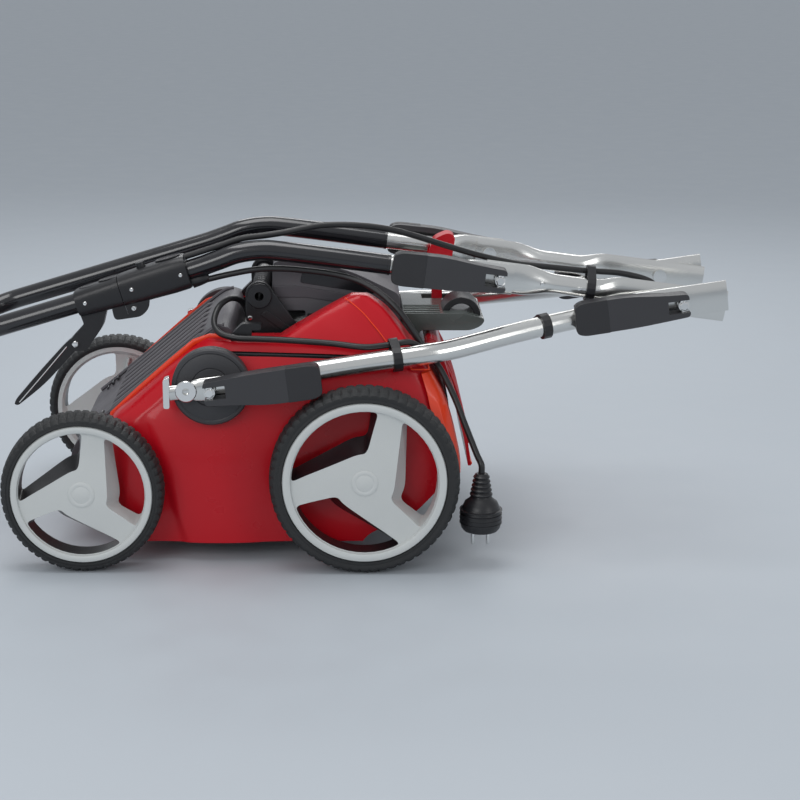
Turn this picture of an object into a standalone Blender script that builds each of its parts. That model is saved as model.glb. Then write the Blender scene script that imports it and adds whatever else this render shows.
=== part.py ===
"""Corded electric push lawn mower, folded for storage.

Metres, +Z up, +X to the rear, -Y is the mower's left side. Shapes are drawn in
"mower" coordinates, whose X is zero midway between the axles and whose Z is zero
on the ground. One empty moves the whole mower so that its outline is centred.
"""
import bpy
import bmesh
from math import acos, cos, sin, pi, radians
from mathutils import Vector

# ---------------------------------------------------------------- driving dimensions
CENTRE_SHIFT = -0.14323        # moves the outline's middle to X = 0
GAP = 0.0003                   # between touching pieces

FRONT_X, REAR_X = -0.176, 0.176
FRONT_R, REAR_R = 0.102, 0.119
FRONT_RIM_R, REAR_RIM_R = 0.0885, 0.1025
FRONT_FACE_Y, REAR_FACE_Y = 0.230, 0.236
FRONT_WIDTH, REAR_WIDTH = 0.042, 0.044
ARM = 0.028                    # height-setting crank
AXLE_R = 0.006

BLADE_X = 0.035                # motor shaft
BLADE_R = 0.162
CHAMBER_R = 0.172
CEILING_Z = 0.125
FLOOR_Z = 0.137                # floor of the motor bay

TUBE_R = 0.013
FLAT_A, FLAT_B = 0.0200, 0.0040     # half height and half thickness of a flattened end
JOINT1 = (-0.015, 0.231)       # deck to lower bars, (x, z)
JOINT2 = (0.582, 0.318)        # lower bars to middle bars
JOINT3 = (0.349, 0.349)        # middle bars to upper handle
DISC_R = 0.049
DISC_Y = (0.1750, 0.1930)
LOWER_DISC_Y = 0.1985          # lower bar at the disc
LOWER_Y2 = 0.0905              # lower bar at joint 2
MIDDLE_Y = 0.0815
UPPER_Y = 0.0905
U_END_X = -0.345
LEVER_LONG, LEVER_THICK = 0.138, 0.022
BOLT_R = 0.0040

FLAP_HINGE = (0.262, 0.262)
FLAP_Y = 0.122
CARRY = (0.042, 0.325)         # carry handle tube, (x, z)
HEIGHT_PIVOT = (0.276, 0.288)
HEIGHT_Y = 0.050
SWITCH_PIVOT = (-0.194, 0.265)
CABLE_R = 0.0040
STRAP_X = 0.4660                # strap that holds the cable to the left middle bar

COLOURS = {
    "red": ((0.40, 0.010, 0.020), 0.25, 0.0),
    "hood_grey": ((0.11, 0.10, 0.115), 0.50, 0.0),
    "lever_grey": ((0.035, 0.035, 0.040), 0.55, 0.0),
    "black": ((0.010, 0.010, 0.012), 0.40, 0.0),
    "rim_grey": ((0.62, 0.63, 0.62), 0.40, 0.0),
    "rubber": ((0.020, 0.021, 0.022), 0.80, 0.0),
    "chrome": ((0.80, 0.80, 0.80), 0.12, 1.0),
    "steel": ((0.55, 0.55, 0.56), 0.35, 1.0),
    "copper": ((0.60, 0.30, 0.15), 0.40, 1.0),
    "smoke": ((0.14, 0.16, 0.15), 0.35, 0.0),
}

for old in list(bpy.data.objects):
    bpy.data.objects.remove(old, do_unlink=True)


# ---------------------------------------------------------------- helpers
def material(node, key):
    """A material of the node's own."""
    colour, rough, metal = COLOURS[key]
    mat = bpy.data.materials.new(node)
    mat.use_nodes = True
    bsdf = mat.node_tree.nodes["Principled BSDF"]
    bsdf.inputs["Base Color"].default_value = (*colour, 1.0)
    bsdf.inputs["Roughness"].default_value = rough
    bsdf.inputs["Metallic"].default_value = metal
    return mat


class Body:
    """An empty on a joint's axis; the pieces of a body are parented to it."""

    def __init__(self, name, place, parent=None):
        self.place = Vector(place)
        self.empty = bpy.data.objects.new("joint_" + name, None)
        bpy.context.collection.objects.link(self.empty)
        self.empty.empty_display_size = 0.02
        if parent is None:
            self.empty.location = (CENTRE_SHIFT, 0, 0)
        else:
            self.empty.parent = parent.empty
            self.empty.location = self.place - parent.place


def from_rings(rings, caps=True, closed=False):
    """Mesh through rings of equal length; closed joins the last ring to the first."""
    bm = bmesh.new()
    verts = [[bm.verts.new(p) for p in ring] for ring in rings]
    count = len(rings[0])
    pairs = list(zip(verts, verts[1:]))
    if closed:
        pairs.append((verts[-1], verts[0]))
    for one, two in pairs:
        for i in range(count):
            j = (i + 1) % count
            bm.faces.new((one[i], one[j], two[j], two[i]))
    if caps and not closed:
        bm.faces.new(list(reversed(verts[0])))
        bm.faces.new(verts[-1])
    bmesh.ops.recalc_face_normals(bm, faces=bm.faces)
    return bm


def add(name, bm, key, body, smooth=35):
    """Turn a bmesh drawn in mower coordinates into a named object of a body."""
    mesh = bpy.data.meshes.new(name)
    bm.to_mesh(mesh)
    bm.free()
    if smooth:
        mesh.shade_smooth()
        mesh.set_sharp_from_angle(angle=radians(smooth))
    obj = bpy.data.objects.new(name, mesh)
    bpy.context.collection.objects.link(obj)
    obj.parent = body.empty
    obj.location = -body.place
    if key is None:
        obj.hide_render = True
        obj.display_type = "WIRE"
    else:
        mesh.materials.append(material(name, key))
    return obj


def boolean(obj, tool, operation="DIFFERENCE"):
    mod = obj.modifiers.new(tool.name, "BOOLEAN")
    mod.operation = operation
    mod.solver = "EXACT"
    mod.object = tool
    return obj


def bevel(obj, width, segments=1, angle=40):
    mod = obj.modifiers.new("edges", "BEVEL")
    mod.width = width
    mod.segments = segments
    mod.limit_method = "ANGLE"
    mod.angle_limit = radians(angle)
    return obj


def prism(outline, y0, y1):
    """Outline of (x, z) points pulled from y0 to y1."""
    return from_rings([[(x, y0, z) for x, z in outline], [(x, y1, z) for x, z in outline]])


def block(x0, x1, y0, y1, z0, z1):
    return prism([(x0, z0), (x1, z0), (x1, z1), (x0, z1)], y0, y1)


def arc(cx, cz, r, start, end, steps):
    """Points on a circle, angles in degrees, anticlockwise from +X."""
    return [(cx + r * cos(radians(start + (end - start) * i / steps)),
             cz + r * sin(radians(start + (end - start) * i / steps))) for i in range(steps + 1)]


def rod(start, end, r, sides=16):
    """Straight round bar between two points."""
    a, b = Vector(start), Vector(end)
    return sweep([a, b], [(r, r), (r, r)], sides)


def turned(profile, centre, axis="Z", sides=32):
    """Closed profile of (radius, height) turned about an axis through centre."""
    cx, cy, cz = centre
    rings = []
    solid = min(r for r, _ in profile) > 1e-6
    for i in range(sides):
        a = 2 * pi * i / sides
        if axis == "Z":
            rings.append([(cx + r * cos(a), cy + r * sin(a), cz + h) for r, h in profile])
        else:
            rings.append([(cx + r * cos(a), cy + h, cz + r * sin(a)) for r, h in profile])
    bm = from_rings(rings, caps=False, closed=True)
    if not solid:
        bmesh.ops.remove_doubles(bm, verts=bm.verts, dist=1e-6)
        bmesh.ops.recalc_face_normals(bm, faces=bm.faces)
    return bm


def washer(centre, r_out, r_in, y0, y1, sides=24):
    """Ring or disc about an axis along Y."""
    inner = [(r_in, y1), (r_in, y0)] if r_in > 0 else [(0, y1), (0, y0)]
    return turned([(r_out, y0), (r_out, y1)] + inner, centre, "Y", sides)


def smooth_path(points, steps):
    """Catmull-Rom curve through the points, ends included."""
    pts = [Vector(p) for p in points]
    pts = [2 * pts[0] - pts[1]] + pts + [2 * pts[-1] - pts[-2]]
    out = []
    for i in range(1, len(pts) - 2):
        p0, p1, p2, p3 = pts[i - 1:i + 3]
        for k in range(steps):
            t = k / steps
            out.append(0.5 * (2 * p1 + (p2 - p0) * t + (2 * p0 - 5 * p1 + 4 * p2 - p3) * t * t
                              + (3 * p1 - p0 - 3 * p2 + p3) * t ** 3))
    out.append(pts[-2])
    return out


def sweep(path, sizes, sides=12):
    """Oval tube along a path; sizes are (half height, half thickness in Y)."""
    path = [Vector(p) for p in path]
    rings = []
    for i, point in enumerate(path):
        ahead = path[min(i + 1, len(path) - 1)]
        behind = path[max(i - 1, 0)]
        along = (ahead - behind).normalized()
        helper = Vector((0, 1, 0)) if abs(along.y) < 0.9 else Vector((0, 0, 1))
        high = along.cross(helper).normalized()
        wide = high.cross(along).normalized()
        a, b = sizes[i]
        turns = [2 * pi * k / sides for k in range(sides)]
        rings.append([point + high * (a * cos(t)) + wide * (b * sin(t)) for t in turns])
    return from_rings(rings)


def flattened(path, sizes_at):
    """Sizes for a sweep, read from a function of the point."""
    return [sizes_at(p) for p in path]


def side_name(side):
    return "left" if side < 0 else "right"


# ---------------------------------------------------------------- bodies
deck = Body("mower", (0, 0, 0))
rear_swing = Body("rear_axle", (REAR_X + ARM, 0, REAR_R), deck)
front_swing = Body("front_axle", (FRONT_X + ARM, 0, FRONT_R), deck)
spindle = Body("blade_shaft", (BLADE_X, 0, 0), deck)
flap = Body("rear_flap", (FLAP_HINGE[0], 0, FLAP_HINGE[1]), deck)
height = Body("height_lever", (HEIGHT_PIVOT[0], HEIGHT_Y, HEIGHT_PIVOT[1]), deck)
lower = Body("lower_bars", (JOINT1[0], 0, JOINT1[1]), deck)
middle = Body("middle_bars", (JOINT2[0], 0, JOINT2[1]), lower)
upper = Body("upper_handle", (JOINT3[0], 0, JOINT3[1]), middle)
switch = Body("switch_lever", (SWITCH_PIVOT[0], -UPPER_Y, SWITCH_PIVOT[1]), upper)


# ---------------------------------------------------------------- deck shell
DECK_LAYERS = [      # z, front x, rear x, half width, extra width between the wheels
    (0.025, -0.158, 0.300, 0.1790, 0.008),
    (0.060, -0.164, 0.300, 0.1800, 0.008),
    (0.130, -0.158, 0.298, 0.1790, 0.006),
    (0.175, -0.150, 0.288, 0.1730, 0.003),
    (0.205, -0.118, 0.279, 0.1670, 0.001),
    (0.245, -0.073, 0.257, 0.1560, 0.000),
    (0.276, -0.036, 0.237, 0.1430, 0.000),
]
HUMP_LAYERS = [      # z, front x, rear x, half width
    (0.262, 0.045, 0.246, 0.1490),
    (0.283, 0.074, 0.231, 0.1400),
    (0.315, 0.128, 0.206, 0.1260),
    (0.330, 0.155, 0.186, 0.1180),
]
WALL = 0.004
RECESS_Y, TOP_Z = 0.100, 0.262    # sunk floor between the humps


def deck_layer(z, x0, x1, half, extra, inset=0.0):
    """Outline of the deck at one height, with its corners cut."""
    x0, x1, half = x0 + inset, x1 - inset, half - inset
    side = [(x0, half - 0.035), (x0 + 0.012, half - 0.010), (x0 + 0.035, half),
            (max(x0 + 0.045, -0.066), half), (max(x0 + 0.050, -0.048), half + extra),
            (0.040, half + extra), (0.056, half), (x1 - 0.020, half), (x1, half - 0.012)]
    return [(x, y, z) for x, y in side] + [(x, -y, z) for x, y in reversed(side)]


def hump_layer(z, x0, x1, half, inset=0.0):
    x0, x1, half = x0 + inset, x1 - inset, half - inset
    return [(x0, half, z), (x1, half, z), (x1, -half, z), (x0, -half, z)]


def make_deck():
    shell = add("deck_shell", from_rings([deck_layer(*row) for row in DECK_LAYERS]), "red", deck)
    bevel(shell, 0.004, 1, 50)
    hump = add("hump_solid", from_rings([hump_layer(*row) for row in HUMP_LAYERS]), None, deck)
    boolean(shell, hump, "UNION")
    bosses = []
    for side in (-1, 1):
        bosses.append(washer((JOINT1[0], 0, JOINT1[1]), 0.030, 0, side * 0.140, side * (DISC_Y[0] - GAP)))
        lug = [(0.008, 0.272), (0.034, 0.272), (0.034, 0.292), (0.046, 0.292), (0.046, 0.300),
               (0.022, 0.300), (0.008, 0.286)]
        bosses.append(prism(lug, side * 0.128, side * 0.141))
        ear = [(0.226, 0.240), (0.262, 0.252)] + arc(*FLAP_HINGE, 0.0095, -60, 90, 5) + [(0.226, 0.2715)]
        bosses.append(prism(ear, side * (FLAP_Y + GAP), side * (FLAP_Y + 0.008)))
    for i, bm in enumerate(bosses):
        boolean(shell, add(f"deck_boss_{i}", bm, None, deck), "UNION")

    bay_rows = [(FLOOR_Z, *DECK_LAYERS[2][1:])] + DECK_LAYERS[3:]
    bay_rows[-1] = (TOP_Z - WALL, -0.048, 0.243, 0.1480, 0.0)
    bay = from_rings([deck_layer(*row, inset=WALL) for row in bay_rows])
    recess = block(0.010, 0.320, -RECESS_Y, RECESS_Y, TOP_Z, 0.400)
    well = prism([(-0.200, 0.138), (-0.125, 0.138), (-0.125, FLOOR_Z + 0.012), (0.016, FLOOR_Z + 0.012),
                  (0.016, 0.400), (-0.200, 0.400)], -0.122, 0.122)
    chamber = turned([(0, -0.05), (CHAMBER_R, -0.05), (CHAMBER_R, CEILING_Z - 0.012),
                      (CHAMBER_R - 0.012, CEILING_Z), (0, CEILING_Z)], (BLADE_X, 0, 0), "Z", 48)
    tunnel = prism([(0.060, -0.05), (0.35, -0.05), (0.35, 0.205), (0.240, 0.190), (0.150, 0.124),
                    (0.060, 0.110)], -0.100, 0.100)
    rear_notch = prism([(0.160, 0.0), (0.180, 0.034), (0.240, 0.062), (0.285, 0.108), (0.35, 0.108),
                        (0.35, 0.0)], -0.25, 0.25)
    side_bays = [prism([(0.222, 0.05), (0.294, 0.05), (0.282, 0.120), (0.222, 0.120)],
                       side * 0.104, side * 0.1745) for side in (-1, 1)]
    cuts = [bay, recess, well, chamber, tunnel, rear_notch, *side_bays]
    cuts.append(rod((BLADE_X, 0, 0.1), (BLADE_X, 0, 0.16), 0.0150, 32))
    cuts += [rod((x + ARM, -0.2, z), (x + ARM, 0.2, z), AXLE_R + 0.0005, 20)
             for x, z in ((FRONT_X, FRONT_R), (REAR_X, REAR_R))]
    cuts.append(rod((FLAP_HINGE[0], -0.2, FLAP_HINGE[1]), (FLAP_HINGE[0], 0.2, FLAP_HINGE[1]), 0.0034))
    cuts += [rod((JOINT1[0], side * 0.10, JOINT1[1]), (JOINT1[0], side * 0.20, JOINT1[1]), BOLT_R + 0.0005)
             for side in (-1, 1)]
    for i, bm in enumerate(cuts):
        boolean(shell, add(f"deck_cut_{i}", bm, None, deck))


# ---------------------------------------------------------------- motor hood and cover
def make_covers():
    """Ribbed hood between the deck's side walls, and the motor cover on top of it."""
    outer = [(-0.206, 0.100), (-0.199, 0.142), (-0.170, 0.176), (-0.022, 0.299), (-0.004, 0.302),
             (0.010, 0.292), (0.0152, 0.262), (0.0152, 0.259), (-0.030, 0.259), (-0.1225, 0.152),
             (-0.172, 0.1395), (-0.180, 0.100)]
    inner = [(-0.203, 0.080), (-0.196, 0.140), (-0.168, 0.173), (-0.021, 0.2955), (-0.006, 0.298),
             (0.007, 0.290), (0.012, 0.262), (0.012, 0.200), (-0.060, 0.200), (-0.140, 0.120),
             (-0.183, 0.080)]
    hood = add("motor_hood", prism(outer, -0.1215, 0.1215), "hood_grey", deck)
    bevel(hood, 0.003, 1, 50)
    inside = prism(inner, -0.1185, 0.1185)
    boolean(hood, add("hood_inside", inside, None, deck))
    grooves = 6
    for i in range(grooves):
        y = (i - (grooves - 1) / 2) * 0.030
        line = prism([(-0.165, 0.1785), (-0.040, 0.2825), (-0.043, 0.2860), (-0.168, 0.1820)],
                     y - 0.004, y + 0.004)
        boolean(hood, add(f"hood_groove_{i}", line, None, deck))

    foot = TOP_Z + GAP
    top = [(0.1005, foot), (0.1005, 0.300), (0.060, 0.300), (0.0575, 0.330), (0.0590, 0.366),
           (0.150, 0.357), (0.224, 0.321), (0.224, foot)]
    cover = add("motor_cover", prism(top, -0.062, 0.062), "hood_grey", deck)
    bevel(cover, 0.003, 1, 50)
    for side in (-1, 1):
        window = [(0.094, 0.337), (0.098, 0.357), (0.148, 0.352), (0.190, 0.331), (0.190, 0.322)]
        boolean(cover, add(f"cover_window_{side}", prism(window, side * 0.057, side * 0.08), None, deck))
    hollow = [(0.1045, 0.250), (0.1045, 0.304), (0.064, 0.304), (0.0615, 0.330), (0.063, 0.361),
              (0.149, 0.352), (0.220, 0.318), (0.220, 0.250)]
    boolean(cover, add("cover_hollow", prism(hollow, -0.054, 0.054), None, deck))


# ---------------------------------------------------------------- motor and blade
def make_motor():
    centre = (BLADE_X, 0, 0)
    stator_z, stator_top, bore = FLOOR_Z + GAP, 0.236, 0.0370
    add("motor_stator", turned([(0.060, stator_z), (0.060, stator_top), (bore, stator_top),
                                (bore, stator_z)], centre, "Z", 32), "copper", deck)
    add("lower_bearing", turned([(0.0147, 0.126), (0.0147, 0.136), (0.0065, 0.136), (0.0065, 0.126)],
                                centre, "Z", 24), "steel", deck)
    cap = [(0.060, stator_top + GAP), (0.060, 0.246), (0.018, 0.256), (0.0113, 0.256),
           (0.0113, 0.250), (0.0113, stator_top + GAP)]
    add("motor_end_cap", turned(cap, centre, "Z", 32), "steel", deck)
    add("upper_bearing", turned([(0.0110, 0.244), (0.0110, 0.252), (0.0053, 0.252), (0.0053, 0.244)],
                                centre, "Z", 24), "steel", deck)

    shaft = [(0, 0.048), (0.006, 0.048), (0.006, 0.158), (0.036, 0.158), (0.036, 0.228), (0.005, 0.228),
             (0.005, 0.254), (0, 0.254)]
    add("motor_rotor", turned(shaft, centre, "Z", 24), "steel", spindle)
    hub = [(0.0063, 0.048), (0.030, 0.048), (0.030, 0.058), (0.016, 0.072), (0.016, 0.110), (0.0063, 0.110)]
    add("blade_hub", turned(hub, centre, "Z", 24), "black", spindle)
    add("blade_bolt", turned([(0, 0.036), (0.010, 0.036), (0.010, 0.0432), (0.0042, 0.0432),
                              (0.0042, 0.0477), (0, 0.0477)], centre, "Z", 16), "steel", spindle)
    half, width, thick = BLADE_R, 0.023, 0.0040
    z0 = 0.0436
    rings = []
    for s, lift in ((-1.0, 0.010), (-0.72, 0.008), (-0.60, 0.0), (0.0, 0.0), (0.60, 0.0), (0.72, 0.008),
                    (1.0, 0.010)):
        x = BLADE_X + half * s
        tail = -1 if s < 0 else 1
        lift_a, lift_b = (lift, 0) if tail < 0 else (0, lift)
        rings.append([(x, -width, z0 + lift_a), (x, width, z0 + lift_b), (x, width, z0 + thick + lift_b),
                      (x, -width, z0 + thick + lift_a)])
    blade = add("blade", from_rings(rings), "steel", spindle)
    boolean(blade, add("blade_hole", rod((BLADE_X, 0, 0.03), (BLADE_X, 0, 0.06), 0.0045), None, spindle))


# ---------------------------------------------------------------- axles and wheels
def make_axle(name, x, z, face_y, body):
    """Cross rod in the deck, a crank plate on each end and a stub for each wheel."""
    cross = add(name, rod((x + ARM, -0.1855, z), (x + ARM, 0.1855, z), AXLE_R, 16), "steel", body)
    for side in (-1, 1):
        outline = arc(x, z, 0.011, 90, 270, 8) + arc(x + ARM, z, 0.011, -90, 90, 8)
        arm = prism(outline, side * 0.1815, side * 0.1862)
        boolean(cross, add(f"{name}_arm_{side}", arm, None, body), "UNION")
        stub = rod((x, side * 0.1820, z), (x, side * (face_y - 0.014), z), AXLE_R, 16)
        boolean(cross, add(f"{name}_stub_{side}", stub, None, body), "UNION")


def window_outline(x, z, r_in, r_corner, start):
    """Opening between two spokes: an arc at the rim and a corner near the hub."""
    pts = arc(0, 0, r_in, start, start + 95, 8)
    pts.append((r_corner * cos(radians(start + 22)), r_corner * sin(radians(start + 22))))
    pts.append((r_corner * cos(radians(start + 4)), r_corner * sin(radians(start + 4))))
    return [(x + px, z + pz) for px, pz in pts]


def make_wheel(place, side, x, r, rim_r, face_y, width, first_angle, axle_body):
    name = f"{place}_wheel_{side_name(side)}"
    body = Body(name, (x, side * (face_y - width / 2), r), axle_body)
    out, back = side * face_y, side * (face_y - width)
    depth = out - back
    lip = 0.105 * rim_r
    profile = [(rim_r, back + 0.06 * depth), (rim_r, out - 0.05 * depth), (rim_r - 0.002, out),
               (rim_r - lip + 0.002, out), (rim_r - lip, out - 0.10 * depth), (0.020, out - 0.06 * depth),
               (0, out - 0.06 * depth), (0, back + 0.15 * depth), (0.018, back + 0.04 * depth),
               (0.022, back + 0.25 * depth), (rim_r - 0.012, back + 0.25 * depth),
               (rim_r - 0.006, back + 0.06 * depth)]
    rim = add(name.replace("wheel", "rim"), turned(profile, (x, 0, r), "Y", 32), "rim_grey", body)
    for i in range(3):
        window = window_outline(x, r, rim_r - lip - 0.001, 0.46 * rim_r, first_angle + 120 * i)
        boolean(rim, add(f"{name}_window_{i}", prism(window, back * 0.9, out * 1.1), None, body))
    bore = rod((x, back * 0.9, r), (x, out - 0.30 * depth, r), AXLE_R + 0.0004, 16)
    boolean(rim, add(f"{name}_bore", bore, None, body))
    inner = rim_r + GAP
    tyre = [(inner, back + 0.06 * depth), (r - 0.007, back), (r - 0.002, back + 0.14 * depth),
            (r, back + 0.32 * depth), (r, back + 0.68 * depth), (r - 0.002, back + 0.86 * depth),
            (r - 0.007, out - 0.01 * depth), (inner, out - 0.05 * depth)]
    add(name.replace("wheel", "tyre"), turned(tyre, (x, 0, r), "Y", 48), "rubber", body)


def make_wheels():
    make_axle("front_axle", FRONT_X, FRONT_R, FRONT_FACE_Y, front_swing)
    make_axle("rear_axle", REAR_X, REAR_R, REAR_FACE_Y, rear_swing)
    for side in (-1, 1):
        make_wheel("front", side, FRONT_X, FRONT_R, FRONT_RIM_R, FRONT_FACE_Y, FRONT_WIDTH, -30, front_swing)
        make_wheel("rear", side, REAR_X, REAR_R, REAR_RIM_R, REAR_FACE_Y, REAR_WIDTH, -38, rear_swing)


# ---------------------------------------------------------------- handle bars
def end_size(distance, flat_until, round_from, r=TUBE_R):
    """Section of a tube whose end is pressed flat, by distance from the flat end's pivot."""
    t = min(max((distance - flat_until) / (round_from - flat_until), 0.0), 1.0)
    t = t * t * (3 - 2 * t)
    return (FLAT_A + (r - FLAT_A) * t, FLAT_B + (r - FLAT_B) * t)


LOWER_BAR = [(-0.066, LOWER_DISC_Y, 0.2250), (-0.040, LOWER_DISC_Y, 0.2280), (0.006, LOWER_DISC_Y, 0.2340),
             (0.040, LOWER_DISC_Y, 0.2390), (0.085, 0.194, 0.2470), (0.110, 0.190, 0.2505),
             (0.180, 0.179, 0.2590), (0.250, 0.166, 0.2665), (0.290, 0.151, 0.2705), (0.350, 0.128, 0.2810),
             (0.400, 0.1115, 0.2895), (0.440, 0.100, 0.2960), (0.480, 0.094, 0.3025), (0.520, 0.0915, 0.3087),
             (0.555, LOWER_Y2, 0.3140), (0.582, LOWER_Y2, 0.3180), (0.641, LOWER_Y2, 0.3265)]


def lower_bar_path(side):
    return smooth_path([Vector((x, side * y, z)) for x, y, z in LOWER_BAR], 2)


def point_on(path, x):
    """Centre and direction of a path where it passes x."""
    for one, two in zip(path, path[1:]):
        if one.x <= x <= two.x:
            return one.lerp(two, (x - one.x) / (two.x - one.x)), (two - one).normalized()


def make_lower_bar(side):
    path = lower_bar_path(side)

    def size(p):
        return min(end_size(abs(p.x - JOINT1[0]), 0.052, 0.095),
                   end_size(abs(p.x - JOINT2[0]), 0.070, 0.110), key=lambda ab: ab[1])
    bar = add(f"lower_bar_{side_name(side)}", sweep(path, flattened(path, size)), "chrome", lower)
    drill(bar, f"lower_bar_{side}_a", JOINT1, side, lower)
    drill(bar, f"lower_bar_{side}_b", JOINT2, side, lower)


def middle_bar_path(side):
    j2, j3 = Vector((JOINT2[0], 0, JOINT2[1])), Vector((JOINT3[0], 0, JOINT3[1]))
    along = (j3 - j2).normalized()
    reach = (j3 - j2).length
    path = []
    for s in (-0.060, -0.02, 0.02, 0.075, 0.085, 0.095, 0.105, 0.115, 0.13, reach - 0.075, reach - 0.060,
              reach - 0.045, reach - 0.030, reach - 0.01, reach + 0.018):
        path.append(j2 + along * s + Vector((0, side * MIDDLE_Y, 0)))
    return path


def make_middle_bar(side):
    j2, j3 = Vector((JOINT2[0], 0, JOINT2[1])), Vector((JOINT3[0], 0, JOINT3[1]))
    path = middle_bar_path(side)

    def size(p):
        flat_2 = end_size((p - j2 - Vector((0, p.y, 0))).length, 0.075, 0.115)
        flat_3 = end_size((p - j3 - Vector((0, p.y, 0))).length, 0.030, 0.075)
        return min(flat_2, flat_3, key=lambda ab: ab[1])
    bar = add(f"middle_bar_{side_name(side)}", sweep(path, flattened(path, size)), "chrome", middle)
    drill(bar, f"middle_bar_{side}_a", JOINT2, side, middle)
    drill(bar, f"middle_bar_{side}_b", JOINT3, side, middle)


def drill(bar, name, joint, side, body):
    hole = rod((joint[0], side * 0.05, joint[1]), (joint[0], side * 0.23, joint[1]), BOLT_R + 0.0005)
    boolean(bar, add(name + "_hole", hole, None, body))


UPPER_SIDE = [(0.2095, 0.3660), (0.145, 0.3745), (0.075, 0.3830), (0.045, 0.3850), (0.015, 0.3810),
              (-0.010, 0.3720), (-0.040, 0.3615)]
GRIP_SLOPE = 0.300             # the straight grip end falls to the front


def grip_z(x):
    return 0.3615 + GRIP_SLOPE * (x + 0.040)


def upper_tube_path():
    """Left side, round bend at the front, right side."""
    corner = 0.050
    left = [(x, -UPPER_Y, z) for x, z in UPPER_SIDE]
    left += [(x, -UPPER_Y, grip_z(x)) for x in (-0.10, -0.20, U_END_X + corner + 0.030)]
    bend = []
    for i in range(6):
        a = radians(90 * i / 5)
        x = U_END_X + corner - corner * sin(a)
        bend.append((x, -UPPER_Y + corner * (1 - cos(a)), grip_z(x)))
    half = smooth_path(left, 2) + [Vector(p) for p in bend]
    return half + [Vector((p.x, -p.y, p.z)) for p in reversed(half)]


def make_upper_handle():
    path = upper_tube_path()
    rings = []
    sides = 12
    for i, point in enumerate(path):
        along = (path[min(i + 1, len(path) - 1)] - path[max(i - 1, 0)]).normalized()
        up = Vector((-0.287, 0, 0.958)) if point.x < -0.05 else Vector((0, 0, 1))
        wide = along.cross(up).normalized()
        high = wide.cross(along).normalized()
        turns = [2 * pi * k / sides for k in range(sides)]
        rings.append([point + (high * cos(t) + wide * sin(t)) * TUBE_R for t in turns])
    add("upper_handle", from_rings(rings), "black", upper)
    for side in (-1, 1):
        x0, z0 = UPPER_SIDE[0]
        start = Vector((x0 + GAP, side * UPPER_Y, z0))
        pivot = Vector((JOINT3[0], side * UPPER_Y, JOINT3[1]))
        along = (pivot - start).normalized()
        reach = (pivot - start).length
        stops = (0.0, 0.03, reach - 0.075, reach - 0.060, reach - 0.045, reach - 0.03, reach, reach + 0.018)
        piece = [start + along * s for s in stops]

        def size(p):
            return end_size((p - pivot).length, 0.030, 0.075, TUBE_R - 0.0005)
        end = add(f"upper_end_{side_name(side)}", sweep(piece, flattened(piece, size)), "chrome", upper)
        drill(end, f"upper_end_{side}", JOINT3, side, upper)


# ---------------------------------------------------------------- clamps
def centre_line(joint, direction, along, across):
    """Point at a distance along and across a direction from a joint, as (x, z)."""
    return (joint[0] + along * cos(direction) - across * sin(direction),
            joint[1] + along * sin(direction) + across * cos(direction))


def lever_outline(joint, direction):
    """Cover of a clamp lever seen from the side, running from its eye along direction."""
    shape = [(-0.010, -0.015), (0.030, -0.0175), (0.070, -0.0225), (0.128, -0.0215), (LEVER_LONG, -0.017),
             (LEVER_LONG, 0.017), (0.128, 0.0205), (0.060, 0.0190), (0.025, 0.0165), (-0.010, 0.0140)]
    return [centre_line(joint, direction, a, b) for a, b in shape]


def make_clamp(number, side, joint, direction, inner_y, outer_y, bar_y, parent):
    """Quick-release lever on the outside of a joint, and the bolt it pulls."""
    tag = f"{number}_{side_name(side)}"
    lever_y0 = outer_y + 0.0012
    body = Body(f"clamp_lever_{tag}", (joint[0], side * (lever_y0 + 0.010), joint[1]), parent)
    lever = add(f"clamp_lever_{tag}", prism(lever_outline(joint, direction), side * lever_y0,
                                            side * (lever_y0 + LEVER_THICK)), "lever_grey", body)
    bevel(lever, 0.004, 1, 50)
    slot = [centre_line(joint, direction, a, b) for a, b in ((-0.02, -0.008), (0.020, -0.008),
                                                             (0.020, 0.008), (-0.02, 0.008))]
    notch = prism(slot, side * (lever_y0 - 0.01), side * (lever_y0 + 0.04))
    boolean(lever, add(f"clamp_slot_{tag}", notch, None, body))
    trough = [centre_line(joint, direction, a, b) for a, b in ((0.034, -0.0150), (0.15, -0.0150),
                                                               (0.15, 0.0150), (0.034, 0.0150))]
    hollow = prism(trough, side * (lever_y0 - 0.01), side * bar_y)
    boolean(lever, add(f"clamp_trough_{tag}", hollow, None, body))
    bolt_profile = [(0, inner_y - 0.006), (0.009, inner_y - 0.006), (0.009, inner_y - GAP),
                    (BOLT_R, inner_y - GAP), (BOLT_R, lever_y0 + 0.004), (0.0070, lever_y0 + 0.004),
                    (0.0070, lever_y0 + 0.0165), (0, lever_y0 + 0.0165)]
    profile = [(r, side * y) for r, y in bolt_profile]
    add(f"clamp_bolt_{tag}", turned(profile, (joint[0], 0, joint[1]), "Y", 16), "chrome", parent)


def make_clamps():
    for side in (-1, 1):
        make_clamp(1, side, JOINT1, radians(7), 0.1365, LOWER_DISC_Y + FLAT_B, 0.2080, lower)
        make_clamp(2, side, JOINT2, radians(188), MIDDLE_Y - FLAT_B, LOWER_Y2 + 0.0080, 0.1125, lower)
        make_clamp(3, side, JOINT3, radians(173), MIDDLE_Y - FLAT_B, UPPER_Y + FLAT_B, 0.1045, upper)
        disc = washer((JOINT1[0], 0, JOINT1[1]), DISC_R, BOLT_R + 0.0005, side * DISC_Y[0],
                      side * DISC_Y[1], 32)
        add(f"pivot_disc_{side_name(side)}", disc, "lever_grey", deck)


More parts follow.
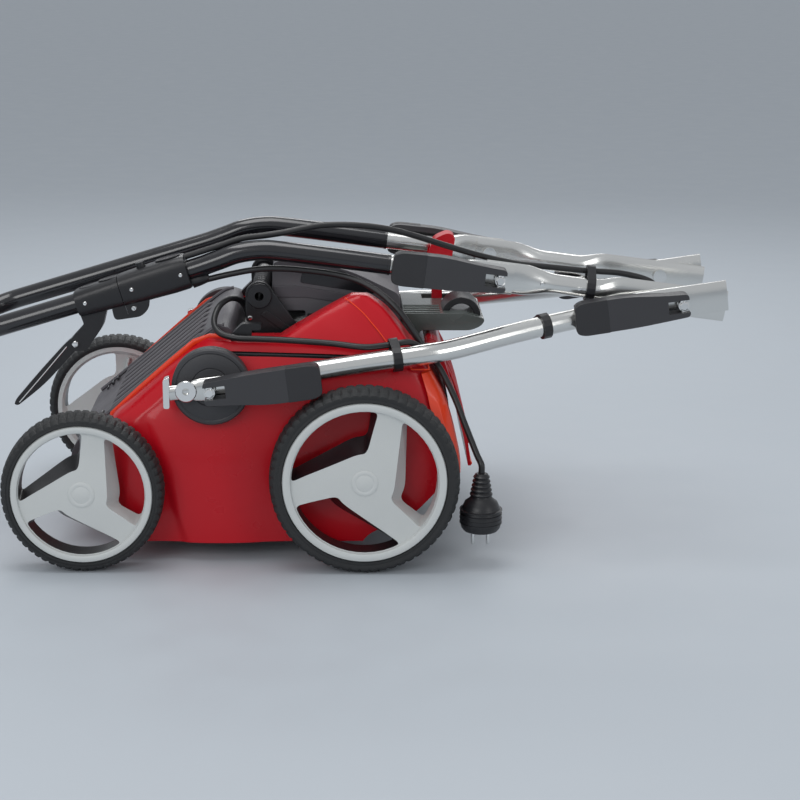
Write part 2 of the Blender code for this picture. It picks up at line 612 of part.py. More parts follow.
# ---------------------------------------------------------------- switch box and its lever
def make_switch():
    """Sleeve around the left side of the grip, with a leg for the lever's pivot."""
    x0, x1 = -0.190, -0.048
    y = -UPPER_Y
    slope = Vector((1, 0, GRIP_SLOPE)).normalized()
    high = Vector((-slope.z, 0, slope.x))
    a, b = Vector((x0, y, grip_z(x0))), Vector((x1, y, grip_z(x1)))
    section = [(-0.021, -0.015), (-0.015, -0.022), (0.015, -0.022), (0.021, -0.015), (0.021, 0.015),
               (0.015, 0.022), (-0.015, 0.022), (-0.021, 0.015)]
    rings = [[p + Vector((0, w, 0)) + high * (h * k) for w, h in section]
             for p, k in ((a, 0.80), (a.lerp(b, 0.55), 1.0), (b, 1.10))]
    box = add("switch_box", from_rings(rings), "black", upper)
    bevel(box, 0.002, 1, 30)
    leg = [(-0.190, 0.312), (-0.152, 0.312), (-0.158, 0.288), (-0.180, 0.256), (-0.197, 0.255),
           (-0.204, 0.266), (-0.182, 0.290)]
    boolean(box, add("switch_leg", prism(leg, y - 0.010, y + 0.010), None, upper), "UNION")
    hook = [(-0.146, 0.316), (-0.096, 0.334), (-0.098, 0.312), (-0.108, 0.302), (-0.142, 0.297)]
    boolean(box, add("switch_hook", prism(hook, y - 0.016, y - 0.010), None, upper), "UNION")
    bore = sweep([a - slope * 0.05, b + slope * 0.05], [(TUBE_R + 0.0004,) * 2] * 2, 28)
    boolean(box, add("switch_bore", bore, None, upper))
    slot = prism([(-0.260, 0.190), (-0.184, 0.248), (-0.176, 0.276), (-0.190, 0.290), (-0.260, 0.292)],
                 y - 0.0053, y + 0.0053)
    boolean(box, add("switch_slot", slot, None, upper))
    pin_hole = rod((SWITCH_PIVOT[0], y - 0.02, SWITCH_PIVOT[1]),
                   (SWITCH_PIVOT[0], y + 0.02, SWITCH_PIVOT[1]), 0.0030)
    boolean(box, add("switch_pin_hole", pin_hole, None, upper))
    button_well = rod(a.lerp(b, 0.62) + high * 0.010, a.lerp(b, 0.62) + high * 0.05, 0.0065)
    boolean(box, add("button_well", button_well, None, upper))

    lever_shape = [(-0.1890, 0.2660), (-0.1915, 0.2715), (-0.1975, 0.2725), (-0.2080, 0.2640),
                   (-0.2450, 0.2240), (-0.2750, 0.1890), (-0.2770, 0.1830), (-0.2720, 0.1815),
                   (-0.2360, 0.2100), (-0.1960, 0.2540), (-0.1905, 0.2590)]
    lever = add("switch_lever", prism(lever_shape, y - 0.005, y + 0.005), "black", switch)
    bevel(lever, 0.0015, 1, 50)
    trunnion = rod((SWITCH_PIVOT[0], y - 0.0125, SWITCH_PIVOT[1]),
                   (SWITCH_PIVOT[0], y + 0.0125, SWITCH_PIVOT[1]), 0.0026)
    boolean(lever, add("lever_trunnion", trunnion, None, switch), "UNION")

    button_base = a.lerp(b, 0.62) + high * 0.0180
    button = Body("lock_button", button_base, upper)
    add("lock_button", rod(button_base, button_base + high * 0.010, 0.0060), "black", button)


# ---------------------------------------------------------------- rear flap, grips, height lever
def make_rear():
    """Discharge flap on its pin, the height lever and the rear grip."""
    hx, hz = FLAP_HINGE
    skin = [(hx + 0.002, hz + 0.006), (hx + 0.010, hz + 0.004), (0.290, 0.214), (0.3095, 0.150),
            (0.3150, 0.108), (0.3110, 0.108), (0.3050, 0.150), (0.2850, 0.214), (hx + 0.004, hz - 0.006)]
    plate = add("rear_flap", prism(skin, -FLAP_Y, FLAP_Y), "red", flap)
    boolean(plate, add("flap_barrel", rod((hx, -FLAP_Y, hz), (hx, FLAP_Y, hz), 0.0065), None, flap), "UNION")
    boolean(plate, add("flap_bore", rod((hx, -0.2, hz), (hx, 0.2, hz), 0.0035), None, flap))
    gap_box = block(hx - 0.010, hx + 0.012, 0.088, 0.120, hz - 0.012, hz + 0.012)
    boolean(plate, add("flap_spring_gap", gap_box, None, flap))
    add("flap_pin", rod((hx, -FLAP_Y - 0.009, hz), (hx, FLAP_Y + 0.009, hz), 0.0031), "steel", deck)

    turns, per_turn, wire, coil_r = 5, 10, 0.0011, 0.0052
    coil = []
    steps = turns * per_turn
    for i in range(steps + 1):
        a = 2 * pi * i / per_turn
        coil.append(Vector((hx + coil_r * cos(a), 0.091 + 0.026 * i / steps, hz + coil_r * sin(a))))
    add("flap_spring", sweep(coil, [(wire, wire)] * len(coil), 5), "steel", deck)


def make_carry_handle():
    x, z = CARRY
    grip = [(0, -0.092), (0.0160, -0.092), (0.0160, -0.0865), (0.0120, -0.0865), (0.0120, 0.0865),
            (0.0160, 0.0865), (0.0160, 0.092), (0, 0.092)]
    handle = add("carry_handle", turned(grip, (x, 0, z), "Y", 24), "black", deck)
    for side in (-1, 1):
        hole = rod((x, side * 0.080, z), (x, side * 0.1, z), 0.0060, 16)
        boolean(handle, add(f"carry_end_hole_{side}", hole, None, deck))
    foot = TOP_Z + GAP
    bracket = add("carry_bracket", block(0.040, 0.100, -0.0800, 0.0800, foot, foot + 0.004), "black", deck)
    for side in (-1, 1):
        outline = [(x - 0.018, z - 0.002)] + arc(x, z, 0.018, 170, 20, 8)
        outline += [(0.100, 0.272), (0.100, foot), (0.040, foot), (x - 0.017, 0.290)]
        plate = prism(outline, side * 0.0795, side * 0.0860)
        boolean(bracket, add(f"carry_plate_{side}", plate, None, deck), "UNION")
    ring = rod((x, -0.1, z), (x, 0.1, z), 0.0120 + GAP, 24)
    boolean(bracket, add("carry_bracket_hole", ring, None, deck))


def make_height_lever():
    """Red lever that sets the cutting height, in a block behind the motor cover."""
    x, z = HEIGHT_PIVOT
    y = HEIGHT_Y
    foot = TOP_Z + GAP
    base = [(0.2265, foot), (0.247, foot), (0.251, 0.2730), (0.316, 0.2730), (0.330, 0.2790),
            (0.335, 0.2880), (0.310, 0.2960), (0.2265, 0.2960)]
    block_obj = add("rear_grip", prism(base, -0.060, 0.070), "smoke", deck)
    bevel(block_obj, 0.003, 1, 50)
    arch = arc(0.304, 0.288, 0.0260, 0, 180, 12) + arc(0.304, 0.288, 0.0170, 180, 0, 12)
    boolean(block_obj, add("grip_arch", prism(arch, -0.045, 0.005), None, deck), "UNION")
    slot = block(x - 0.020, x + 0.020, y - 0.0145, y + 0.0145, z - 0.012, 0.320)
    boolean(block_obj, add("height_slot", slot, None, deck))
    grip = [(x - 0.006, z - 0.004), (x - 0.008, 0.335), (x - 0.014, 0.352), (x - 0.006, 0.376),
            (x + 0.014, 0.385), (x + 0.024, 0.380), (x + 0.018, 0.340), (x + 0.008, 0.320),
            (x + 0.006, z - 0.004)]
    lever = add("height_lever", prism(grip, y - 0.0140, y + 0.0140), "red", height)
    bevel(lever, 0.002, 1, 50)
    scoop = [(x - 0.030, 0.350), (x - 0.010, 0.345), (x + 0.010, 0.345), (x + 0.014, 0.372),
             (x - 0.004, 0.368)]
    boolean(lever, add("height_scoop", prism(scoop, y - 0.0115, y + 0.0115), None, height))


# ---------------------------------------------------------------- cables and clips
CABLE_TO_LOWER = [(0.0300, -0.0600, 0.2630), (0.0290, -0.0620, 0.2850), (0.0200, -0.0700, 0.3120),
                  (0.0060, -0.0880, 0.3220), (-0.0080, -0.1080, 0.3160), (-0.0140, -0.1265, 0.3000),
                  (-0.0060, -0.1390, 0.2880), (0.0150, -0.1470, 0.2835), (0.0400, -0.1480, 0.2825),
                  (0.0650, -0.1500, 0.2820), (0.0940, -0.1530, 0.2810), (0.1350, -0.1580, 0.2790),
                  (0.1750, -0.1650, 0.2760), (0.2000, -0.1620, 0.2772), (0.2160, -0.1589, 0.2791),
                  (0.2320, -0.1558, 0.2800), (0.2440, -0.1500, 0.2740), (0.2560, -0.1455, 0.2672),
                  (0.3000, -0.1275, 0.2730), (0.3500, -0.1090, 0.2830),
                  (0.4130, -0.0885, 0.2925)]
CABLE_TO_MIDDLE = [(0.4133, -0.0884, 0.2925), (0.4600, -0.0740, 0.3000), (0.5100, -0.0630, 0.3100),
                   (0.5430, -0.0600, 0.3220), (0.5520, -0.0590, 0.3330), (0.5380, -0.0600, 0.3420),
                   (0.5080, -0.0620, 0.3495), (0.4780, -0.0650, 0.3525), (0.4580, -0.0660, 0.3540)]
CABLE_TO_UPPER = [(0.4577, -0.0660, 0.3540), (0.4150, -0.0660, 0.3585), (0.3720, -0.0660, 0.3630),
                  (0.3280, -0.0670, 0.3730), (0.2840, -0.0680, 0.3860), (0.2340, -0.0700, 0.4020),
                  (0.1980, -0.0720, 0.4105), (0.1610, -0.0740, 0.4145), (0.1250, -0.0760, 0.4145),
                  (0.1010, -0.0770, 0.4110), (0.0770, -0.0780, 0.4060), (0.0500, -0.0800, 0.4020),
                  (0.0200, -0.0830, 0.3985), (-0.0100, -0.0870, 0.3895), (-0.0521, -0.0905, 0.3765)]
MAINS_ROUTE = [(-0.0417, -0.0905, 0.3425), (0.0050, -0.0905, 0.3540), (0.0500, -0.0905, 0.3610),
               (0.1000, -0.0905, 0.3590), (0.1500, -0.0945, 0.3520), (0.1850, -0.1060, 0.3400),
               (0.2180, -0.1250, 0.3160), (0.2440, -0.1345, 0.2800), (0.2560, -0.1365, 0.2620),
               (0.2720, -0.1430, 0.2430), (0.2900, -0.1570, 0.2090), (0.3040, -0.1730, 0.1750),
               (0.3170, -0.1900, 0.1440), (0.3225, -0.1985, 0.1330), (0.3230, -0.1990, 0.1221)]
PLUG_TOP = (0.3230, -0.1990, 0.1218)


def cord(name, route, steps, key, body):
    """Round cable: a poly curve through a smooth path, with filled ends."""
    points = smooth_path(route, steps)
    data = bpy.data.curves.new(name, "CURVE")
    data.dimensions = "3D"
    data.bevel_depth = CABLE_R
    data.bevel_resolution = 2
    data.use_fill_caps = True
    spline = data.splines.new("POLY")
    spline.points.add(len(points) - 1)
    for target, p in zip(spline.points, points):
        target.co = (*p, 1.0)
    obj = bpy.data.objects.new(name, data)
    bpy.context.collection.objects.link(obj)
    obj.parent = body.empty
    obj.location = -body.place
    data.materials.append(material(name, key))


def clip(name, bar, along, cable, body):
    """Band around a bar and the cable beside it: two arcs joined by their common tangents."""
    toward = cable - bar
    toward -= along * toward.dot(along)
    reach = toward.length
    toward.normalize()
    across = along.cross(toward).normalized()
    bar_r, cable_r = TUBE_R + 0.0007, CABLE_R + 0.0010
    tangent = acos((bar_r - cable_r) / reach)

    def loop(thick, shift):
        ring = []
        for k in range(10):
            a = tangent + (2 * pi - 2 * tangent) * k / 9
            ring.append(toward * ((bar_r + thick) * cos(a)) + across * ((bar_r + thick) * sin(a)))
        for k in range(6):
            a = -tangent + 2 * tangent * k / 5
            ring.append(toward * (reach + (cable_r + thick) * cos(a)) + across * ((cable_r + thick) * sin(a)))
        return [bar + p + along * shift for p in ring]
    half, thick = 0.0055, 0.0028
    rings = [loop(thick, -half), loop(thick, half), loop(0.0, half), loop(0.0, -half)]
    add(name, from_rings(rings, caps=False, closed=True), "black", body)


def make_cables():
    cord("motor_cable_lower", CABLE_TO_LOWER, 3, "black", lower)
    cord("motor_cable_middle", CABLE_TO_MIDDLE, 3, "black", middle)
    cord("motor_cable_upper", CABLE_TO_UPPER, 3, "black", upper)
    cord("mains_cord", MAINS_ROUTE, 3, "black", upper)
    for name, x, cable in (("bar_clip_front", 0.2160, CABLE_TO_LOWER[14]), ("bar_clip_rear", 0.4060, None)):
        bar, along = point_on(lower_bar_path(-1), x)
        if cable is None:
            cable, _ = point_on(smooth_path(CABLE_TO_LOWER[-3:], 3), x)
        clip(name, bar, along, Vector(cable), lower)
    bar, along = point_on(list(reversed(middle_bar_path(-1))), STRAP_X)
    cable, _ = point_on(list(reversed(smooth_path(CABLE_TO_MIDDLE[5:], 3))), STRAP_X)
    clip("cable_strap", bar, along, cable, middle)
    top = Vector(PLUG_TOP)
    shape = [(0, 0.0), (0.0085, 0.0), (0.0115, -0.030), (0.0150, -0.036), (0.0190, -0.040), (0.0190, -0.048),
             (0.0240, -0.056), (0.0265, -0.064), (0.0265, -0.078), (0.0200, -0.094), (0, -0.094)]
    add("mains_plug", turned(shape, tuple(top), "Z", 20), "black", upper)


# ---------------------------------------------------------------- build
make_deck()
make_covers()
make_motor()
make_wheels()
for bar_side in (-1, 1):
    make_lower_bar(bar_side)
    make_middle_bar(bar_side)
make_upper_handle()
make_clamps()
make_switch()
make_rear()
make_carry_handle()
make_height_lever()
make_cables()
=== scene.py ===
"""Corded electric push lawn mower, folded for storage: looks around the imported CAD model.

Shapes are drawn in "mower" coordinates, as in the CAD source: metres, +X to the rear,
-Y the left side, +Z up, X zero midway between the axles. SHIFT takes them to the frame.
"""
from math import cos, hypot, pi, radians, sin

import bmesh
import bpy
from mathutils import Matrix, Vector


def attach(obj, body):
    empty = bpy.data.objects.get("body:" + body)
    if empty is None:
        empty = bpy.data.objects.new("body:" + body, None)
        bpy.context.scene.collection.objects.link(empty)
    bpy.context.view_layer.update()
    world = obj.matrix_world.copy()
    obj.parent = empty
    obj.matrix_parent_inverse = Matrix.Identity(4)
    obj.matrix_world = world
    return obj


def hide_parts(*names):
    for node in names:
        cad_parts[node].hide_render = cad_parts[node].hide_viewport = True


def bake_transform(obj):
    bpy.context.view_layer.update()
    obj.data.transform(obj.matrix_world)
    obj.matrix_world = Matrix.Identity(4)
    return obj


SHIFT = -0.14323          # from the axles' middle to the middle of the whole outline
CABLE_R = 0.004
TUBE_R = 0.013
LEFT, RIGHT = -1, 1
SIDES = ((LEFT, "left"), (RIGHT, "right"))

LENS, SENSOR, SHIFT_X = 85.5, 36.0, 0.075     # millimetres, millimetres, share of the picture's width
CAMERA_PLACE, CAMERA_TILT = (0.0023, -2.4743, 0.8302), 15.09
FLOOR_R = 60.0
COAT_ROUGH, MOTTLE_SCALE = 0.06, 14          # clear coat; blotches of colour per metre

DISC_PIN_R, AXLE_BORE_R = 0.0045, 0.0065     # bores for the handle bolts and the axle arms
FLAT_A, FLAT_B = 0.02, 0.004                 # half height and half thickness of a flattened tube
TUBE_SIDES = 32

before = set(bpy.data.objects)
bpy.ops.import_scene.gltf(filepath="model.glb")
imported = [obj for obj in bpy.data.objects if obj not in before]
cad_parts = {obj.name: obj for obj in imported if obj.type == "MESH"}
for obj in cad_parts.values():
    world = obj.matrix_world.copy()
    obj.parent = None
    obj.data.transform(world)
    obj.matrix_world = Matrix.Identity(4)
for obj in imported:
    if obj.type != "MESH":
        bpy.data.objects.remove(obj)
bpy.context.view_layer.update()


def add_object(name, data):
    obj = bpy.data.objects.new(name, data)
    bpy.context.scene.collection.objects.link(obj)
    return obj


def moved(p):
    return Vector((p[0] + SHIFT, p[1], p[2]))


# ---------------------------------------------------------------- camera, floor and light
def make_camera():
    data = bpy.data.cameras.new("camera")
    data.lens, data.sensor_width, data.shift_x = LENS, SENSOR, SHIFT_X
    data.clip_end = 50
    cam = add_object("camera", data)
    cam.location = CAMERA_PLACE
    cam.rotation_euler = (radians(90 - CAMERA_TILT), 0, 0)
    bpy.context.scene.camera = cam


def area_light(name, place, target, size, power):
    data = bpy.data.lights.new(name, "AREA")
    data.shape = "RECTANGLE"
    data.size, data.size_y = size
    data.energy = power
    light = add_object(name, data)
    light.location = place
    light.rotation_euler = (Vector(target) - Vector(place)).to_track_quat("-Z", "Y").to_euler()


def make_lights():
    middle = (0, 0, 0.15)
    area_light("top_soft", (-0.3, -0.1, 2.4), middle, (1.5, 1.3), 21)
    area_light("front_soft", (-1.3, -2.5, 1.5), middle, (1.2, 1.2), 17)
    area_light("right_strip", (1.9, -1.8, 1.0), middle, (0.5, 1.5), 6)
    area_light("back_rim", (0.2, 1.9, 1.5), (0, 0, 0.3), (1.8, 0.5), 11)
    world = bpy.data.worlds.new("studio")
    bpy.context.scene.world = world
    world.use_nodes = True
    background = world.node_tree.nodes["Background"]
    background.inputs["Color"].default_value = (0.78, 0.81, 0.85, 1)
    background.inputs["Strength"].default_value = 0.66
    bpy.context.scene.view_settings.view_transform = "Standard"


def make_floor():
    """Wide pale floor, rounded off far away."""
    bm = bmesh.new()
    bmesh.ops.create_circle(bm, cap_ends=True, segments=64, radius=FLOOR_R)
    mesh = bpy.data.meshes.new("floor")
    bm.to_mesh(mesh)
    bm.free()
    mesh.materials.append(MAT["floor"])
    add_object("floor", mesh)


# ---------------------------------------------------------------- materials
def set_inputs(node, **values):
    """Set sockets by name; an underscore stands for a space."""
    for key, value in values.items():
        node.inputs[key.replace("_", " ")].default_value = value


def material(name, colour, rough, metal=0.0, coat=0.0, grain=600.0, bump=0.02, mottle=0.06,
             rough_spread=0.08, stretch=(1, 1, 1), specular=0.5):
    """Principled surface with fine grain, soft colour variation and uneven roughness."""
    mat = bpy.data.materials.new(name)
    mat.use_nodes = True
    tree = mat.node_tree
    nodes, links = tree.nodes, tree.links
    bsdf = nodes["Principled BSDF"]
    set_inputs(bsdf, Metallic=metal, Coat_Weight=coat, Coat_Roughness=COAT_ROUGH,
               Specular_IOR_Level=specular)
    coords = nodes.new("ShaderNodeTexCoord")
    mapping = nodes.new("ShaderNodeMapping")
    set_inputs(mapping, Scale=stretch)
    links.new(coords.outputs["Object"], mapping.inputs["Vector"])

    fine = nodes.new("ShaderNodeTexNoise")
    set_inputs(fine, Scale=grain, Detail=3)
    broad = nodes.new("ShaderNodeTexNoise")
    set_inputs(broad, Scale=MOTTLE_SCALE, Detail=5)
    for tex in (fine, broad):
        links.new(mapping.outputs["Vector"], tex.inputs["Vector"])

    tint = nodes.new("ShaderNodeMix")
    tint.data_type = "RGBA"
    set_inputs(tint, A=(*[c * (1 - mottle) for c in colour], 1),
               B=(*[min(1, c * (1 + mottle)) for c in colour], 1))
    links.new(broad.outputs["Fac"], tint.inputs["Factor"])
    links.new(tint.outputs["Result"], bsdf.inputs["Base Color"])

    dull = nodes.new("ShaderNodeMapRange")
    set_inputs(dull, From_Min=0.3, From_Max=0.7, To_Min=max(0.02, rough - rough_spread),
               To_Max=rough + rough_spread)
    links.new(broad.outputs["Fac"], dull.inputs["Value"])
    links.new(dull.outputs["Result"], bsdf.inputs["Roughness"])

    relief = nodes.new("ShaderNodeBump")
    set_inputs(relief, Strength=bump, Distance=0.001)
    links.new(fine.outputs["Fac"], relief.inputs["Height"])
    links.new(relief.outputs["Normal"], bsdf.inputs["Normal"])
    return mat


MAT = {
    "red": material("gloss_crimson", (0.5, 0.003, 0.011), 0.32, coat=0.15, bump=0.015, mottle=0.08,
                    specular=0.3),
    # painted highlight: a brighter, more orange copy of the crimson paint, put on edges and corners where
    # light catches the body
    "painted_highlight": material("painted_highlight_red", (0.85, 0.05, 0.008), 0.34, coat=0.2, bump=0.02, mottle=0.1),
    "hood_grey": material("hood_plastic", (0.085, 0.078, 0.088), 0.42, bump=0.25, grain=900),
    "cover_grey": material("cover_plastic", (0.115, 0.108, 0.118), 0.4, bump=0.25, grain=900),
    "window": material("dark_window", (0.016, 0.015, 0.018), 0.2, bump=0.02),
    "lever_grey": material("lever_plastic", (0.036, 0.036, 0.04), 0.46, bump=0.3, grain=1100),
    "lever_dark": material("lever_pad", (0.02, 0.02, 0.023), 0.52, bump=0.4, grain=1300),
    "black": material("black_plastic", (0.011, 0.011, 0.013), 0.36, bump=0.2, grain=1000),
    "tube_black": material("black_enamel", (0.0085, 0.0085, 0.011), 0.2, coat=0.5, bump=0.03, grain=400),
    "cable": material("cable_sheath", (0.012, 0.012, 0.013), 0.38, bump=0.06, grain=700),
    "rim": material("rim_plastic", (0.58, 0.6, 0.59), 0.4, bump=0.18, grain=900, mottle=0.04),
    "rubber": material("tyre_rubber", (0.016, 0.017, 0.018), 0.62, bump=0.55, grain=700, mottle=0.2),
    "chrome": material("chrome_plate", (0.8, 0.8, 0.79), 0.13, metal=1.0, bump=0.02, grain=300,
                       mottle=0.05, rough_spread=0.05),
    "tube_steel": material("polished_tube", (0.72, 0.72, 0.7), 0.19, metal=1.0, bump=0.05, grain=260,
                           mottle=0.08, rough_spread=0.07, stretch=(0.12, 1, 1)),
    "steel": material("brushed_steel", (0.5, 0.5, 0.5), 0.36, metal=1.0, bump=0.2, grain=500,
                      mottle=0.12, stretch=(0.2, 1, 1)),
    "white": material("white_plastic", (0.72, 0.72, 0.7), 0.4, bump=0.08),
    "copper": material("copper_winding", (0.55, 0.25, 0.11), 0.38, metal=1.0, bump=0.5, grain=260),
    "smoke": material("smoky_plastic", (0.085, 0.098, 0.092), 0.24, coat=0.3, bump=0.08, mottle=0.18),
    "floor": material("pale_floor", (0.47, 0.51, 0.55), 0.62, bump=0.02, grain=60, mottle=0.02),
}


# ---------------------------------------------------------------- mesh helpers
def soften(mesh, angle):
    """Smooth shading, but sharp where faces meet at more than the angle."""
    mesh.shade_smooth()
    mesh.set_sharp_from_angle(angle=radians(angle))


def bevel_edges(obj, width, segments, angle, harden=False):
    mod = obj.modifiers.new("edges", "BEVEL")
    mod.width, mod.segments, mod.limit_method = width, segments, "ANGLE"
    mod.angle_limit = radians(angle)
    mod.harden_normals = harden


def finish_mesh(name, bm, mat, body, slot=None, smooth=35, bevel=0.0, segments=2, angle=35):
    """Object from a bmesh drawn in mower coordinates, riding on a CAD body."""
    bmesh.ops.translate(bm, verts=bm.verts, vec=(SHIFT, 0, 0))
    bmesh.ops.recalc_face_normals(bm, faces=bm.faces)
    if bm.calc_volume(signed=True) < 0:
        bmesh.ops.reverse_faces(bm, faces=bm.faces)
    mesh = bpy.data.meshes.new(name)
    bm.to_mesh(mesh)
    bm.free()
    if smooth:
        soften(mesh, smooth)
    obj = add_object(name, mesh)
    mesh.materials.append(MAT[mat])
    if bevel:
        bevel_edges(obj, bevel, segments, angle, harden=True)
    if body:
        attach(obj, body)
    return obj


def rings_bmesh(rings, caps=True, closed=False):
    bm = bmesh.new()
    verts = [[bm.verts.new(p) for p in ring] for ring in rings]
    count = len(rings[0])
    pairs = list(zip(verts, verts[1:]))
    if closed:
        pairs.append((verts[-1], verts[0]))
    for one, two in pairs:
        for i in range(count):
            j = (i + 1) % count
            bm.faces.new((one[i], one[j], two[j], two[i]))
    if caps and not closed:
        bm.faces.new(list(reversed(verts[0])))
        bm.faces.new(verts[-1])
    return bm


def fillet(points, radius, steps=4):
    """Closed outline with each corner rounded; radius is a number or one per corner."""
    out = []
    count = len(points)
    for i, here in enumerate(points):
        r = radius[i] if isinstance(radius, (list, tuple)) else radius
        here = Vector(here)
        before, after = Vector(points[i - 1]), Vector(points[(i + 1) % count])
        if r <= 0:
            out.append(tuple(here))
            continue
        a = here + (before - here).normalized() * min(r, (before - here).length * 0.48)
        b = here + (after - here).normalized() * min(r, (after - here).length * 0.48)
        for k in range(steps + 1):
            t = k / steps
            out.append(tuple(a * (1 - t) ** 2 + here * (2 * t * (1 - t)) + b * t * t))
    return out


def slab_bmesh(outline, y0, y1):
    return rings_bmesh([[(x, y0, z) for x, z in outline], [(x, y1, z) for x, z in outline]])


def slab(name, outline, y0, y1, mat, body, slot=None, **kw):
    """Outline of (x, z) points pulled from y0 to y1."""
    return finish_mesh(name, slab_bmesh(outline, y0, y1), mat, body, slot, **kw)


def box_bmesh(x0, x1, y0, y1, z0, z1):
    return slab_bmesh([(x0, z0), (x1, z0), (x1, z1), (x0, z1)], y0, y1)


def arc(cx, cz, r, start, end, steps):
    return [(cx + r * cos(radians(start + (end - start) * i / steps)),
             cz + r * sin(radians(start + (end - start) * i / steps))) for i in range(steps + 1)]


def lathe_bmesh(profile, centre, axis=(0, 1, 0), sides=48):
    """Closed profile of (radius, height) turned about an axis through centre."""
    up = Vector(axis).normalized()
    one = up.orthogonal().normalized()
    two = up.cross(one)
    centre = Vector(centre)
    rings = []
    for i in range(sides):
        a = 2 * pi * i / sides
        out = one * cos(a) + two * sin(a)
        rings.append([centre + out * r + up * h for r, h in profile])
    bm = rings_bmesh(rings, caps=False, closed=True)
    bmesh.ops.remove_doubles(bm, verts=bm.verts, dist=1e-6)
    return bm


def lathe(name, profile, centre, mat, body, slot=None, axis=(0, 1, 0), sides=48, **kw):
    return finish_mesh(name, lathe_bmesh(profile, centre, axis, sides), mat, body, slot, **kw)


def curve_path(points, steps):
    """Catmull-Rom curve through the points, ends included."""
    pts = [Vector(p) for p in points]
    pts = [2 * pts[0] - pts[1]] + pts + [2 * pts[-1] - pts[-2]]
    out = []
    for i in range(1, len(pts) - 2):
        p0, p1, p2, p3 = pts[i - 1:i + 3]
        for k in range(steps):
            t = k / steps
            out.append(0.5 * (2 * p1 + (p2 - p0) * t + (2 * p0 - 5 * p1 + 4 * p2 - p3) * t * t
                              + (3 * p1 - p0 - 3 * p2 + p3) * t ** 3))
    out.append(pts[-2])
    return out


def sweep_bmesh(path, sizes, sides=24):
    """Oval tube along a path; sizes are (half height, half thickness)."""
    path = [Vector(p) for p in path]
    rings = []
    last = len(path) - 1
    for i, point in enumerate(path):
        along = (path[min(i + 1, last)] - path[max(i - 1, 0)]).normalized()
        helper = Vector((0, 1, 0)) if abs(along.y) < 0.9 else Vector((0, 0, 1))
        high = along.cross(helper).normalized()
        wide = high.cross(along).normalized()
        a, b = sizes[i] if isinstance(sizes, list) else sizes
        turns = [2 * pi * k / sides for k in range(sides)]
        rings.append([point + high * (a * cos(t)) + wide * (b * sin(t)) for t in turns])
    return rings_bmesh(rings)


def cross_pin(x, z, r, y0, y1, sides=24):
    """Round bar across the mower, for bores and pins."""
    return sweep_bmesh([(x, y0, z), (x, y1, z)], (r, r), sides)


def span(side, near, far):
    """Lower and upper y of a piece on one side of the mower."""
    return sorted((side * near, side * far))


def tube(name, path, sizes, mat, body, slot=None, sides=24, **kw):
    return finish_mesh(name, sweep_bmesh(path, sizes, sides), mat, body, slot, **kw)


def cut(obj, bm, operation="DIFFERENCE"):
    """Boolean a bmesh drawn in mower coordinates into an object, and apply it."""
    tool = finish_mesh("tool", bm, "black", None, None, smooth=0)
    mod = obj.modifiers.new("cut", "BOOLEAN")
    mod.operation = operation
    mod.solver = "MANIFOLD"
    mod.object = tool
    while obj.modifiers[0] != mod:
        obj.modifiers.move(len(obj.modifiers) - 1, 0)
    bpy.context.view_layer.objects.active = obj
    bpy.ops.object.modifier_apply(modifier=mod.name)
    bpy.data.objects.remove(tool, do_unlink=True)
    return obj


def screw(name, place, axis, r, body, height=0.0022, cross=True):
    """Pan-head screw with a cross recess."""
    profile = [(0, -0.002), (r, -0.002), (r, height * 0.4), (r * 0.8, height * 0.85), (r * 0.35, height),
               (0, height)]
    head = lathe(name, profile, place, "chrome", body, axis=axis, sides=24)
    if cross:
        up = Vector(axis).normalized()
        one = up.orthogonal().normalized()
        two = up.cross(one)
        for a, b in ((one, two), (two, one)):
            bm = bmesh.new()
            base = Vector(place) + up * (height * 0.45)
            corners = [base + a * (s * r * 0.55) + b * (t * r * 0.11) + up * h
                       for h in (0, height) for s, t in ((-1, -1), (1, -1), (1, 1), (-1, 1))]
            v = [bm.verts.new(p) for p in corners]
            for f in ((0, 1, 2, 3), (4, 5, 6, 7), (0, 1, 5, 4), (1, 2, 6, 5), (2, 3, 7, 6), (3, 0, 4, 7)):
                bm.faces.new([v[k] for k in f])
            cut(head, bm)
    return head


# ---------------------------------------------------------------- cords
MAINS_ROUTE = [(-0.0417, -0.0905, 0.3425), (0.005, -0.0905, 0.354), (0.05, -0.0905, 0.361),
               (0.1, -0.0905, 0.359), (0.15, -0.0945, 0.352), (0.185, -0.106, 0.34),
               (0.218, -0.125, 0.316), (0.244, -0.1345, 0.28), (0.256, -0.1365, 0.262),
               (0.272, -0.143, 0.243), (0.29, -0.157, 0.209), (0.304, -0.173, 0.175),
               (0.317, -0.19, 0.144), (0.3225, -0.1985, 0.133), (0.323, -0.199, 0.1221)]
PLUG_TOP = (0.323, -0.199, 0.1218)
CABLE_TO_LOWER = [(0.03, -0.06, 0.263), (0.029, -0.062, 0.285), (0.02, -0.07, 0.312),
                  (0.006, -0.088, 0.322), (-0.008, -0.108, 0.316), (-0.014, -0.1265, 0.3),
                  (-0.006, -0.139, 0.288), (0.015, -0.147, 0.2835), (0.04, -0.148, 0.2825),
                  (0.065, -0.15, 0.282), (0.094, -0.153, 0.281), (0.135, -0.158, 0.279),
                  (0.175, -0.165, 0.276), (0.2, -0.162, 0.2772), (0.216, -0.1589, 0.2791),
                  (0.232, -0.1558, 0.28), (0.244, -0.15, 0.274), (0.256, -0.1455, 0.2672),
                  (0.3, -0.1275, 0.273), (0.35, -0.109, 0.283), (0.413, -0.0885, 0.2925)]
CABLE_TO_MIDDLE = [(0.4133, -0.0884, 0.2925), (0.46, -0.074, 0.3), (0.51, -0.063, 0.31),
                   (0.543, -0.06, 0.322), (0.552, -0.059, 0.333), (0.538, -0.06, 0.342),
                   (0.508, -0.062, 0.3495), (0.478, -0.065, 0.3525), (0.458, -0.066, 0.354)]
